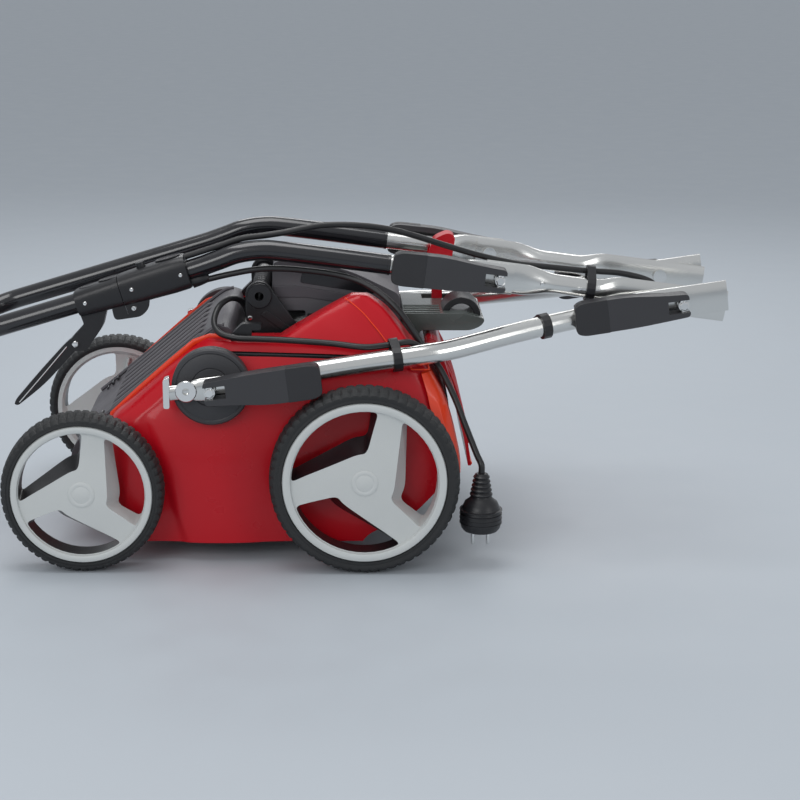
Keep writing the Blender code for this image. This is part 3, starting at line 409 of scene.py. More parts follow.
CABLE_TO_UPPER = [(0.4577, -0.066, 0.354), (0.415, -0.066, 0.3585), (0.372, -0.066, 0.363),
                  (0.328, -0.067, 0.373), (0.284, -0.068, 0.386), (0.234, -0.07, 0.402),
                  (0.198, -0.072, 0.4105), (0.161, -0.074, 0.4145), (0.125, -0.076, 0.4145),
                  (0.101, -0.077, 0.411), (0.077, -0.078, 0.406), (0.05, -0.08, 0.402),
                  (0.02, -0.083, 0.3985), (-0.01, -0.087, 0.3895), (-0.0521, -0.0905, 0.3765)]


def make_plug():
    """Two-pin plug: ribbed neck, waisted body with finger grips, two pins."""
    top = Vector(PLUG_TOP)
    profile = [(0, 0.0), (0.0072, 0.0), (0.008, -0.001)]
    for i in range(5):
        h = -0.003 - 0.0056 * i
        r = 0.0092 + 0.001 * i
        profile += [(r, h), (r + 0.0012, h - 0.0008), (r + 0.0012, h - 0.0026), (r - 0.0006, h - 0.0034)]
    profile += [(0.015, -0.033), (0.0205, -0.037), (0.0235, -0.044), (0.025, -0.05), (0.0262, -0.057),
                (0.0262, -0.064), (0.0245, -0.0705), (0.0215, -0.0745), (0, -0.075)]
    body = lathe("plug_body", profile, top, "black", "upper_handle", axis=(0, 0, 1), sides=40,
                 bevel=0.0006, segments=1)
    for k in range(4):
        z = top.z - 0.047 - 0.0055 * k
        ring = [(0.0238, -0.0012), (0.0268, -0.0006), (0.0268, 0.0006), (0.0238, 0.0012)]
        rib = lathe(f"plug_rib_{k}", ring, (top.x, top.y, z), "black", "upper_handle",
                    axis=(0, 0, 1), sides=40)
        rib.parent = body
        rib.matrix_parent_inverse = body.matrix_world.inverted()
        rib.matrix_world = body.matrix_world
    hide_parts("mains_plug")
    pieces = [body]
    for k, dx in enumerate((-0.0095, 0.0095)):
        pin = [(0, -0.072), (0.0024, -0.072), (0.0024, -0.0925), (0.0016, -0.0938), (0, -0.094)]
        pieces.append(lathe(f"plug_pin_{k}", pin, top + Vector((dx, 0, 0)), "chrome", "upper_handle",
                            axis=(0, 0, 1), sides=20))
    return pieces


def make_cords():
    points = [moved(p) for p in curve_path(MAINS_ROUTE, 6)]
    data = bpy.data.curves.new("mains_flex", "CURVE")
    data.dimensions = "3D"
    data.bevel_depth = CABLE_R
    data.bevel_resolution = 6
    data.use_fill_caps = True
    spline = data.splines.new("POLY")
    spline.points.add(len(points) - 1)
    for target, p in zip(spline.points, points):
        target.co = (*p, 1.0)
    flex = add_object("mains_flex", data)
    data.materials.append(MAT["cable"])
    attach(flex, "upper_handle")
    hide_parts("mains_cord")
    make_plug()

    runs = (("motor_flex_lower", CABLE_TO_LOWER, "motor_cable_lower", "mower", "lower_bars",
             (0.1, 0, 0), (0.205, 0, 0)),
            ("motor_flex_middle", CABLE_TO_MIDDLE, "motor_cable_middle", "lower_bars", "middle_bars",
             (0, 0, 0.312), (0, 0, 0.348)),
            ("motor_flex_upper", CABLE_TO_UPPER, "motor_cable_upper", "middle_bars", "upper_handle",
             (0.415, 0, 0), (0.28, 0, 0)))
    for name, route, node, body_a, body_b, start, end in runs:
        path = curve_path(route, 8)
        obj = finish_mesh(name, sweep_bmesh(path, (CABLE_R, CABLE_R), 16), "cable", None, None)
        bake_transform(obj)
        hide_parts(node)


# ---------------------------------------------------------------- wheels
WHEELS = {   # x, radius, rim radius, face y, width, first window's angle
    "front": (-0.176, 0.102, 0.0885, 0.23, 0.042, -30),
    "rear": (0.176, 0.119, 0.1025, 0.236, 0.044, -38),
}
RIB_ANGLE = 107           # from a window's first angle to the rib on the spoke's back
TREAD_PITCH = 60          # blocks round a tyre
SLICES = 4                # steps per block


def window_ring(x, z, r_in, r_corner, start, spread):
    pts = arc(0, 0, r_in, start - spread, start + 95 + spread, 14)
    for turn in (22, 4):
        a = radians(start + turn)
        pts.append((r_corner * cos(a), r_corner * sin(a)))
    radii = [0.007] + [0.0] * 13 + [0.007, 0.01, 0.01]
    return [(x + px, z + pz) for px, pz in fillet(pts, radii, 4)]


def make_rim(place, side, hand, x, r, rim_r, face_y, width, first):
    name, body = f"{place}_rim_{hand}", f"{place}_wheel_{hand}"
    out, back = side * face_y, side * (face_y - width)
    depth = out - back
    lip = 0.105 * rim_r
    profile = [(rim_r, back + 0.06 * depth), (rim_r, out - 0.06 * depth),
               (rim_r - 0.0012, out - 0.01 * depth),
               (rim_r - 0.003, out), (rim_r - lip + 0.003, out), (rim_r - lip + 0.001, out - 0.02 * depth),
               (rim_r - lip, out - 0.12 * depth), (0.07 * rim_r / 0.1, out - 0.14 * depth),
               (0.045 * rim_r / 0.1, out - 0.09 * depth), (0.02, out - 0.06 * depth), (0,
                                                                                       out - 0.055 * depth),
               (0, back + 0.15 * depth), (0.018, back + 0.04 * depth), (0.022, back + 0.25 * depth),
               (rim_r - 0.012, back + 0.25 * depth), (rim_r - 0.006, back + 0.06 * depth)]
    rim = lathe(name + "_face", profile, (x, 0, r), "rim", body, sides=96,
                bevel=0.0016, segments=3, angle=40)
    for i in range(3):
        start = first + 120 * i
        r_in = rim_r - lip - 0.0005
        front = window_ring(x, r, r_in, 0.37 * rim_r, start, 2.5)
        rear = window_ring(x, r, r_in, 0.52 * rim_r, start, -2.5)
        stations = [(out + 0.3 * depth, front), (out - 0.16 * depth, front), (back + 0.24 * depth, rear),
                    (back - 0.3 * depth, rear)]
        cut(rim, rings_bmesh([[(px, y, pz) for px, pz in ring] for y, ring in stations]))
    cut(rim, cross_pin(x, r, 0.0064, back - 0.1 * depth, out - 0.3 * depth))
    soften(rim.data, 35)
    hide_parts(name)
    cap = [(0, out - 0.1 * depth), (0.0165, out - 0.1 * depth), (0.0165, out - 0.045 * depth),
           (0.015, out - 0.028 * depth), (0.012, out - 0.024 * depth), (0.011, out - 0.034 * depth),
           (0.01, out - 0.024 * depth), (0, out - 0.018 * depth)]
    lathe(name + "_cap", cap, (x, 0, r), "rim", body, sides=48)
    for i in range(3):
        a = radians(first + 120 * i + RIB_ANGLE)
        reach = [s * (rim_r - lip) for s in (0.3, 0.93)]
        rib = [(x + s * cos(a), back + 0.17 * depth, r + s * sin(a)) for s in reach]
        finish_mesh(f"{name}_rib_{i}", sweep_bmesh(rib, (0.0022, 0.005), 10), "rim", body)


def make_tyre(place, side, hand, x, r, rim_r, face_y, width):
    """Tyre with shoulder blocks, a zigzag centre groove and a beaded sidewall."""
    name = f"{place}_tyre_{hand}"
    out, back = side * face_y, side * (face_y - width)
    depth = out - back
    inner = rim_r + 0.0003
    profile = [   # radius, station across the width (0 inner side to 1 outer side), block depth
        (inner, 0.06, 0), (inner + 0.003, 0.03, 0), (r - 0.0085, 0.01, 0), (r - 0.006, 0.015, 0.0012),
        (r - 0.002, 0.1, 0.002), (r - 0.0003, 0.24, 0.0021), (r - 0.0001, 0.4, 0.0018), (r, 0.46, 0.0),
        (r, 0.54, 0.0), (r - 0.0001, 0.6, 0.0018), (r - 0.0003, 0.76, 0.0021), (r - 0.002, 0.9, 0.002),
        (r - 0.006, 0.985, 0.0012), (r - 0.0085, 0.99, 0), (inner + 0.0045, 0.975, 0),
        (inner + 0.003, 0.985, 0), (inner + 0.0012, 0.985, 0), (inner, 0.95, 0)]
    rings = []
    steps = TREAD_PITCH * SLICES
    for i in range(steps):
        a = 2 * pi * i / steps
        ring = []
        for radius, station, block in profile:
            phase = i if station < 0.5 else i + SLICES // 2
            groove = block if phase % SLICES == 0 else 0.0
            rr = radius - groove
            ring.append((x + rr * cos(a), back + station * depth, r + rr * sin(a)))
        rings.append(ring)
    tyre = finish_mesh(name + "_tread", rings_bmesh(rings, caps=False, closed=True), "rubber",
                       f"{place}_wheel_{hand}", smooth=28)
    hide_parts(name)


def make_wheels():
    for place, (x, r, rim_r, face_y, width, first) in WHEELS.items():
        for side, hand in SIDES:
            make_rim(place, side, hand, x, r, rim_r, face_y, width, first)
            make_tyre(place, side, hand, x, r, rim_r, face_y, width)


# ---------------------------------------------------------------- deck
DECK_LAYERS = [      # z, front x, rear x, half width, extra width between the wheels
    (0.025, -0.158, 0.3, 0.179, 0.008), (0.06, -0.164, 0.3, 0.18, 0.008),
    (0.13, -0.158, 0.298, 0.179, 0.006), (0.175, -0.15, 0.288, 0.173, 0.003),
    (0.205, -0.118, 0.279, 0.167, 0.001), (0.245, -0.073, 0.257, 0.156, 0.000),
    (0.276, -0.036, 0.237, 0.143, 0.000)]
HUMP_LAYERS = [(0.255, 0.034, 0.251, 0.152), (0.27, 0.056, 0.24, 0.1465), (0.29, 0.086, 0.226, 0.137),
               (0.315, 0.128, 0.206, 0.126), (0.33, 0.155, 0.186, 0.118)]
WELL_EDGE_Y = 0.1232
FRONT_AXLE, REAR_AXLE = (-0.148, 0.102), (0.204, 0.119)     # bores of the arms that carry the axles
FLAP_HINGE = (0.262, 0.262)
JOINT1 = (-0.015, 0.231)
TOP_Z = 0.262              # floor of the recess on top
FOOT_Z = TOP_Z + 0.0003    # underside of what stands on it


def curve_rows(rows, steps):
    """More rows between the given ones, on smooth curves."""
    pts = [rows[0]] + list(rows) + [rows[-1]]
    out = []
    for i in range(1, len(pts) - 2):
        for k in range(steps):
            t = k / steps
            row = []
            for a, b, c, d in zip(pts[i - 1], pts[i], pts[i + 1], pts[i + 2]):
                row.append(0.5 * (2 * b + (c - a) * t + (2 * a - 5 * b + 4 * c - d) * t * t
                                  + (3 * b - a - 3 * c + d) * t ** 3))
            out.append(row)
    out.append(list(rows[-1]))
    return out


def chaikin(points, rounds=2):
    """Corner cutting on a closed 3-D outline."""
    for _ in range(rounds):
        out = []
        for i, p in enumerate(points):
            q = points[(i + 1) % len(points)]
            p, q = Vector(p), Vector(q)
            out += [p.lerp(q, 0.25), p.lerp(q, 0.75)]
        points = out
    return points


def deck_ring(z, x0, x1, half, extra, inset=0.0):
    """Outline of the shell at one height; the crease behind the front wheel leans forward."""
    x0, x1, half = x0 + inset, x1 - inset, half - inset
    crease = -0.046 - 0.28 * max(z - 0.025, 0)
    crease = max(crease, x0 + 0.05)
    side = [(x0, half - 0.05), (x0 + 0.006, half - 0.016), (x0 + 0.03, half), (crease - 0.01, half),
            (crease, half + extra), (0.02, half + extra + 0.001), (0.062, half), (0.15, half),
            (x1 - 0.03, half), (x1, half - 0.016), (x1, half - 0.05)]
    return [(x, y, z) for x, y in side] + [(x, -y, z) for x, y in reversed(side)]


def hump_ring(z, x0, x1, half, inset=0.0):
    x0, x1, half = x0 + inset, x1 - inset, half - inset
    pts = [(x0, 0.05), (x0, half - 0.01), (x0 + 0.012, half), (x1 - 0.012, half), (x1, half - 0.01),
           (x1, 0.05)]
    return [(x, y, z) for x, y in pts] + [(x, -y, z) for x, y in reversed(pts)]


def make_deck():
    rows = curve_rows(DECK_LAYERS, 4)
    rings = [chaikin(deck_ring(*row), 2) for row in rows]
    top = rows[-1]
    for drop, pull in ((0.002, 0.0022), (0.0032, 0.006)):
        rings.append(chaikin(deck_ring(top[0] + drop, top[1], top[2], top[3], top[4], inset=pull), 2))
    shell = finish_mesh("deck_skin", rings_bmesh(rings), "red", "mower", smooth=30)
    hump = curve_rows(HUMP_LAYERS, 3)
    hump_rings = [chaikin(hump_ring(*row), 2) for row in hump]
    last = HUMP_LAYERS[-1]
    hump_rings.append(chaikin(hump_ring(last[0] + 0.0022, last[1], last[2], last[3], inset=0.004), 2))
    cut(shell, rings_bmesh(hump_rings), "UNION")
    for side in (LEFT, RIGHT):
        boss = lathe_bmesh([(0, 0.14), (0.03, 0.14), (0.03, 0.1747), (0, 0.1747)],
                           (JOINT1[0], 0, JOINT1[1]), (0, side, 0), 48)
        cut(shell, boss, "UNION")
        lug = [(0.008, 0.27), (0.034, 0.27), (0.034, 0.292), (0.046, 0.292), (0.046, 0.3),
               (0.022, 0.3), (0.008, 0.286)]
        cut(shell, slab_bmesh(fillet(lug, 0.002, 2), *span(side, 0.128, 0.141)), "UNION")
        ear = [(0.226, 0.24), (0.262, 0.252)] + arc(*FLAP_HINGE, 0.0095, -60, 90, 8) + [(0.226, 0.2715)]
        cut(shell, slab_bmesh(ear, *span(side, 0.1223, 0.13)), "UNION")

    bay_rows = [(0.137, *DECK_LAYERS[2][1:])] + DECK_LAYERS[3:]
    bay_rows[-1] = (TOP_Z - 0.004, -0.048, 0.243, 0.148, 0.0)
    bay = [chaikin(deck_ring(*row, inset=0.004), 1) for row in bay_rows]
    cut(shell, rings_bmesh(bay))
    well = [(-0.2, 0.138), (-0.125, 0.138), (-0.125, 0.149), (0.016, 0.149), (0.016, 0.4), (-0.2, 0.4)]
    cut(shell, slab_bmesh(well, -0.122, 0.122))
    cut(shell, box_bmesh(0.01, 0.32, -0.1, 0.1, TOP_Z, 0.4))
    chamber = [(0, -0.05), (0.172, -0.05), (0.172, 0.113), (0.16, 0.125), (0, 0.125)]
    cut(shell, lathe_bmesh(chamber, (0.035, 0, 0), (0, 0, 1), 72))
    tunnel = [(0.06, -0.05), (0.35, -0.05), (0.35, 0.205), (0.24, 0.19), (0.15, 0.124), (0.06, 0.11)]
    cut(shell, slab_bmesh(fillet(tunnel, 0.01, 3), -0.1, 0.1))
    notch = [(0.16, 0.0), (0.18, 0.034), (0.24, 0.062), (0.285, 0.108), (0.35, 0.108), (0.35, 0.0)]
    cut(shell, slab_bmesh(fillet(notch, 0.012, 4), -0.25, 0.25))
    for side in (LEFT, RIGHT):
        cut(shell, slab_bmesh([(0.222, 0.05), (0.294, 0.05), (0.282, 0.12), (0.222, 0.12)],
                              *span(side, 0.104, 0.1745)))
    for x, z, r in ((*FRONT_AXLE, AXLE_BORE_R), (*REAR_AXLE, AXLE_BORE_R), (*FLAP_HINGE, 0.0034),
                    (*JOINT1, DISC_PIN_R)):
        cut(shell, cross_pin(x, z, r, -0.21, 0.21))
    cut(shell, lathe_bmesh([(0, 0.1), (0.015, 0.1), (0.015, 0.16), (0, 0.16)], (0.035, 0, 0), (0, 0, 1), 32))
    for side in (LEFT, RIGHT):
        ledge = curve_path([(0.008, side * 0.15, 0.264), (0.07, side * 0.151, 0.2625),
                            (0.14, side * 0.15, 0.26), (0.215, side * 0.147, 0.256)], 6)
        cut(shell, sweep_bmesh(ledge, (0.003, 0.005), 12))
    soften(shell.data, 30)
    bevel_edges(shell, 0.0012, 2, 48)
    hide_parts("deck_shell")


# ---------------------------------------------------------------- trim on the deck
def along_rows(rows, z):
    """Values of a table of layers at one height."""
    for one, two in zip(rows, rows[1:]):
        if one[0] <= z <= two[0]:
            t = (z - one[0]) / (two[0] - one[0])
            return [a + (b - a) * t for a, b in zip(one, two)]
    return rows[-1]


def make_deck_trim():
    """Painted highlights: bright orange beads on the shell's edges and strips on its rear corners, a lit copy
    of the red paint.
    """
    heights = [0.165 + 0.0105 * i for i in range(11)]
    for side, tag in SIDES:
        # painted highlight along the edge of the hood's well
        edge = [(along_rows(DECK_LAYERS, z)[1] + 0.0035, side * WELL_EDGE_Y, z + 0.003) for z in heights]
        edge += [(-0.02, side * WELL_EDGE_Y, 0.28), (0.006, side * WELL_EDGE_Y, 0.2795)]
        tube(f"well_edge_highlight_{tag}", edge, (0.0038, 0.0018), "painted_highlight", "mower", sides=10)

        # painted highlight along the hump's crease
        crease = []
        for z in (0.329, 0.32, 0.31, 0.3, 0.29, 0.28, 0.272):
            _, _, rear, half = along_rows(HUMP_LAYERS, z)
            crease.append((rear - 0.03 - 0.1 * (z - 0.272), side * (half + 0.0002), z))
        tube(f"hump_crease_highlight_{tag}", curve_path(crease, 3), (0.0008, 0.0008), "painted_highlight", "mower", sides=8)

        # painted highlight and reflection on the shell's rear corner
        rings = []
        for z in (0.112, 0.125, 0.14, 0.155, 0.17, 0.185, 0.2, 0.215, 0.23, 0.24):
            _, _, x1, half, _ = along_rows(DECK_LAYERS, z)
            trim = 0.01 * max(0.0, (z - 0.2) / 0.04)
            rings.append([(x1 - 0.022 + trim, side * (half + 0.0012), z),
                          (x1 - 0.01, side * (half - 0.001), z),
                          (x1, side * (half - 0.012), z), (x1 + 0.0014, side * (half - 0.03), z),
                          (x1 - 0.006, side * (half - 0.03), z), (x1 - 0.022 + trim, side * (half - 0.006),
                                                                  z)])
        finish_mesh(f"rear_corner_highlight_{tag}", rings_bmesh(rings), "painted_highlight", "mower", bevel=0.0006, segments=1)

        # painted highlight lines around the hinge recess
        frame_pts = [(0.226, 0.2665), (0.252, 0.264), (0.258, 0.245), (0.236, 0.245)]
        for k, (a, b) in enumerate(zip(frame_pts, frame_pts[1:] + frame_pts[:1])):
            row_a, row_b = along_rows(DECK_LAYERS, a[1]), along_rows(DECK_LAYERS, b[1])
            line = [(x, side * (row[3] + 0.0008), z) for (x, z), row in ((a, row_a), (b, row_b))]
            tube(f"recess_edge_highlight_{tag}_{k}", line, (0.0011, 0.0011), "painted_highlight", "mower", sides=8)


def make_discs():
    for side, tag in SIDES:
        profile = [(DISC_PIN_R, 0.175), (0.0485, 0.175), (0.049, 0.1755), (0.049, 0.1905), (0.047, 0.1926),
                   (0.044, 0.193), (0.0425, 0.1922), (0.041, 0.193), (0.025, 0.193), (0.024, 0.192),
                   (0.023, 0.193), (DISC_PIN_R, 0.193)]
        disc = lathe(f"joint_disc_{tag}", profile, (JOINT1[0], 0, JOINT1[1]), "lever_grey", "mower",
                     axis=(0, side, 0), sides=96)
        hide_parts(f"pivot_disc_{tag}")


# ---------------------------------------------------------------- hood and motor cover
def make_hood():
    outer = [(-0.206, 0.1), (-0.199, 0.138), (-0.163, 0.167), (-0.015, 0.2895), (0.000, 0.2935),
             (0.01, 0.287), (0.0152, 0.262), (0.0152, 0.2595), (-0.03, 0.2595), (-0.1225, 0.1525),
             (-0.172, 0.1395), (-0.18, 0.1)]
    radii = [0.003, 0.018, 0.02, 0.014, 0.006, 0.008, 0.001, 0.001, 0.002, 0.002, 0.004, 0.002]
    hood = slab("hood_shell", fillet(outer, radii, 5), -0.1213, 0.1213, "hood_grey", "mower",
                bevel=0.0045, segments=3, angle=50)
    inner = [(-0.203, 0.08), (-0.196, 0.136), (-0.161, 0.164), (-0.014, 0.2862), (-0.001, 0.2895),
             (0.007, 0.284), (0.012, 0.262), (0.012, 0.2), (-0.06, 0.2), (-0.14, 0.12), (-0.183, 0.08)]
    cut(hood, slab_bmesh(inner, -0.1175, 0.1175))
    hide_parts("motor_hood")
    (x0, z0), (x1, z1) = (-0.1555, 0.1732), (-0.0265, 0.28)
    slope = Vector((x1 - x0, 0, z1 - z0)).normalized()
    normal = Vector((-slope.z, 0, slope.x))
    lift, sunk, run_in = normal * 0.0012, normal * -0.0018, slope * 0.01
    for i in range(7):
        y = (i - 3) * 0.031
        low, top = Vector((x0, y, z0)), Vector((x1, y, z1))
        line = [low + sunk, low + run_in + lift, top - run_in + lift, top + sunk]
        tube(f"hood_rib_{i}", line, [(0.0008, 0.002), (0.0026, 0.0055), (0.0026, 0.0055), (0.0008, 0.002)],
             "cover_grey", "mower", sides=14)
    for side, tag in SIDES:
        edge = [(x, side * 0.116, z + 0.0015) for x, z in
                ((-0.19, 0.1455), (-0.163, 0.1675), (-0.093, 0.2255), (-0.023, 0.283), (-0.002, 0.2922))]
        tube(f"hood_rail_{tag}", curve_path(edge, 4), (0.0026, 0.0042), "hood_grey", "mower", sides=12)
        for k in range(3):
            a = Vector((-0.179 + 0.007 * k, side * 0.108, 0.1545 + 0.007 * k))
            b = a + Vector((0.002, -side * 0.024, 0.0022))
            tube(f"hood_vent_{tag}_{k}", [a, b], (0.0016, 0.0022), "window", "mower",
                 sides=10)


def make_cover():
    top = [(0.1005, FOOT_Z), (0.1005, 0.3), (0.06, 0.3), (0.0575, 0.33), (0.059, 0.366), (0.15, 0.357),
           (0.224, 0.321), (0.224, FOOT_Z)]
    radii = [0.001, 0.003, 0.002, 0.002, 0.01, 0.03, 0.01, 0.001]
    cover = slab("cover_shell", fillet(top, radii, 5), -0.0615, 0.0615, "cover_grey", "mower",
                 bevel=0.005, segments=3, angle=50)
    hollow = [(0.1045, 0.25), (0.1045, 0.304), (0.064, 0.304), (0.0615, 0.33), (0.063, 0.361), (0.149, 0.352),
              (0.22, 0.318), (0.22, 0.25)]
    cut(cover, slab_bmesh(hollow, -0.054, 0.054))
    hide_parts("motor_cover")
    for side, tag in SIDES:
        window = fillet([(0.094, 0.337), (0.098, 0.357), (0.148, 0.352), (0.19, 0.3325), (0.19, 0.322)],
                        0.003, 3)
        slab(f"cover_window_{tag}", window, *span(side, 0.06, 0.063), "window", "mower", bevel=0.0006)
        band = fillet([(0.06, 0.318), (0.059, 0.333), (0.09, 0.333), (0.192, 0.3165), (0.222, 0.309),
                       (0.222, 0.3), (0.19, 0.305), (0.1, 0.318)], 0.003, 3)
        slab(f"cover_band_{tag}", band, *span(side, 0.059, 0.0638), "hood_grey", "mower", bevel=0.001)
        skirt = fillet([(0.103, 0.264), (0.103, 0.297), (0.186, 0.288), (0.221, 0.276), (0.221, 0.264)],
                       0.003, 3)
        slab(f"cover_skirt_{tag}", skirt, *span(side, 0.06, 0.0624), "black", "mower", "hood_grey",
             bevel=0.0006)


# ---------------------------------------------------------------- carry handle, rear grip, flap
CARRY = (0.042, 0.325)


def make_carry_handle():
    x, z = CARRY
    end = [(0.0058, -0.092), (0.015, -0.092), (0.0162, -0.0908), (0.0162, -0.0875), (0.015, -0.0866),
           (0.0118, -0.0866), (0.0118, -0.079), (0.0112, -0.078), (0.0116, -0.03)]
    grip = end + [(0.0119, 0.0)] + [(r, -h) for r, h in reversed(end)]
    handle = lathe("carry_grip", grip, (x, 0, z), "black", "mower", sides=64)
    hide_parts("carry_handle")
    for i in range(9):
        ring = [(0.011, -0.0009), (0.0122, -0.0005), (0.0122, 0.0005), (0.011, 0.0009)]
        lathe(f"carry_ring_{i}", ring, (x, -0.048 + 0.012 * i, z), "black", "mower", sides=48)
    base = finish_mesh("carry_base", box_bmesh(0.04, 0.1, -0.0795, 0.0795, FOOT_Z, FOOT_Z + 0.004), "black",
                       "mower", bevel=0.001)
    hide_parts("carry_bracket")
    for side, tag in SIDES:
        outline = [(x - 0.018, z - 0.002)] + arc(x, z, 0.018, 168, 22, 14)
        outline += [(0.0995, 0.274), (0.0995, FOOT_Z), (0.044, FOOT_Z), (x - 0.017, 0.292)]
        plate = slab(f"carry_plate_{tag}", outline, *span(side, 0.0797, 0.086), "black", "mower",
                     bevel=0.0012, segments=2)
        cut(plate, cross_pin(x, z, 0.0121, side * 0.07, side * 0.1, 40))
        rib = fillet([(x + 0.001, 0.3), (x + 0.01, 0.306), (0.092, 0.276), (0.088, 0.268)], 0.003, 3)
        slab(f"carry_web_{tag}", rib, *span(side, 0.0855, 0.0876), "black", "mower", bevel=0.0008)
        screw(f"carry_screw_{tag}", (0.03, side * 0.086, 0.296), (0, side, 0), 0.0034, "mower")


def make_rear():
    hx, hz = FLAP_HINGE
    skin = [(hx + 0.002, hz + 0.006), (hx + 0.01, hz + 0.004), (0.29, 0.214), (0.3095, 0.15), (0.315, 0.108),
            (0.311, 0.108), (0.305, 0.15), (0.285, 0.214), (hx + 0.004, hz - 0.006)]
    radii = [0.002, 0.003, 0.03, 0.03, 0.001, 0.001, 0.03, 0.03, 0.002]
    plate = slab("flap_skin", fillet(skin, radii, 5), -0.1217, 0.1217, "red", "rear_flap",
                 bevel=0.001, angle=50)
    cut(plate, cross_pin(hx, hz, 0.0065, -0.1217, 0.1217, 32), "UNION")
    cut(plate, cross_pin(hx, hz, 0.0035, -0.2, 0.2))
    cut(plate, box_bmesh(hx - 0.01, hx + 0.012, 0.088, 0.12, hz - 0.012, hz + 0.012))
    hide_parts("rear_flap")
    for i in range(5):
        y = (i - 2) * 0.045
        line = [(0.2785, y, 0.242), (0.2915, y, 0.215), (0.306, y, 0.17), (0.3135, y, 0.13)]
        tube(f"flap_rib_{i}", curve_path(line, 5), (0.0016, 0.003), "red", "rear_flap", sides=12)
    # painted highlight along the flap's lower edge
    lip = [(0.314, -0.119, 0.1105), (0.314, 0.119, 0.1105)]
    tube("flap_lip_highlight", lip, (0.0026, 0.0026), "painted_highlight", "rear_flap", sides=16)

    base = [(0.2265, FOOT_Z), (0.247, FOOT_Z), (0.251, 0.273), (0.316, 0.273), (0.33, 0.279), (0.335, 0.288),
            (0.31, 0.296), (0.2265, 0.296)]
    block = slab("rear_block", fillet(base, [0.001, 0.002, 0.003, 0.006, 0.006, 0.005, 0.01, 0.003], 4),
                 -0.0598, 0.0698, "smoke", "mower", bevel=0.0035, segments=3, angle=50)
    cut(block, box_bmesh(0.256, 0.296, 0.0355, 0.0645, 0.276, 0.32))
    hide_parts("rear_grip")
    arch = arc(0.304, 0.288, 0.0258, 0, 180, 24) + arc(0.304, 0.288, 0.0172, 180, 0, 24)
    slab("rear_arch", arch, -0.0445, 0.0045, "black", "mower", "smoke", bevel=0.0012)
    for k in range(4):
        y = -0.054 + 0.0135 * k
        line = [(0.229, y, 0.2965), (0.276, y, 0.2965)]
        tube(f"rear_block_rib_{k}", line, (0.001, 0.002), "smoke", "mower", sides=10)

    x, z, y = 0.276, 0.288, 0.05
    grip = [(x - 0.006, z - 0.004), (x - 0.008, 0.335), (x - 0.014, 0.352), (x - 0.006, 0.376),
            (x + 0.014, 0.385),
            (x + 0.024, 0.38), (x + 0.018, 0.34), (x + 0.008, 0.32), (x + 0.006, z - 0.004)]
    radii = [0.002, 0.008, 0.008, 0.008, 0.007, 0.006, 0.012, 0.008, 0.002]
    lever = slab("height_grip", fillet(grip, radii, 4), y - 0.014, y + 0.014, "red", "height_lever",
                 bevel=0.0022, segments=3, angle=50)
    scoop = [(x - 0.03, 0.349), (x - 0.01, 0.343), (x + 0.01, 0.343), (x + 0.016, 0.372), (x - 0.004, 0.37)]
    cut(lever, slab_bmesh(fillet(scoop, 0.003, 3), y - 0.011, y + 0.011))
    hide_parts("height_lever")


# ---------------------------------------------------------------- handle tubes
JOINT2, JOINT3 = (0.582, 0.318), (0.349, 0.349)
LOWER_Y, LOWER_Y2, MIDDLE_Y, UPPER_Y = 0.1985, 0.0905, 0.0815, 0.0905
LOWER_BAR = [(-0.066, LOWER_Y, 0.225), (-0.04, LOWER_Y, 0.228), (0.006, LOWER_Y, 0.234),
             (0.04, LOWER_Y, 0.239), (0.085, 0.194, 0.247), (0.11, 0.19, 0.2505), (0.18, 0.179, 0.259),
             (0.25, 0.166, 0.2665), (0.29, 0.151, 0.2705), (0.35, 0.128, 0.281), (0.4, 0.1115, 0.2895),
             (0.44, 0.1, 0.296), (0.48, 0.094, 0.3025), (0.52, 0.0915, 0.3087), (0.555, LOWER_Y2, 0.314),
             (0.582, LOWER_Y2, 0.318), (0.641, LOWER_Y2, 0.3265)]
UPPER_SIDE = [(0.2095, 0.366), (0.145, 0.3745), (0.075, 0.383), (0.045, 0.385), (0.015, 0.381),
              (-0.01, 0.372), (-0.04, 0.3615)]
U_END_X, CORNER = -0.345, 0.05


def end_size(distance, flat_until, round_from, r=TUBE_R):
    """Section of a tube whose end is pressed flat, by distance from the flat end's pivot."""
    t = min(max((distance - flat_until) / (round_from - flat_until), 0.0), 1.0)
    t = t * t * (3 - 2 * t)
    return (FLAT_A + (r - FLAT_A) * t, FLAT_B + (r - FLAT_B) * t)


def neck_size(x):
    """Section of the lower tube by its distance from the deck joint: a slim neck, a flat, then round."""
    t = min(max((x + 0.046) / 0.016, 0.0), 1.0)
    wide = 0.0095 + 0.005 * t * t * (3 - 2 * t)
    u = min(max((x - 0.037) / 0.043, 0.0), 1.0)
    u = u * u * (3 - 2 * u)
    return (wide + (TUBE_R - wide) * u, FLAT_B + (TUBE_R - FLAT_B) * u)


def flat_distance(p, joint):
    return hypot(p.x - joint[0], p.z - joint[1])


def thinner(*sizes):
    return min(sizes, key=lambda ab: ab[1])


def drill(obj, joint, side):
    cut(obj, cross_pin(*joint, DISC_PIN_R, side * 0.05, side * 0.24, 20))


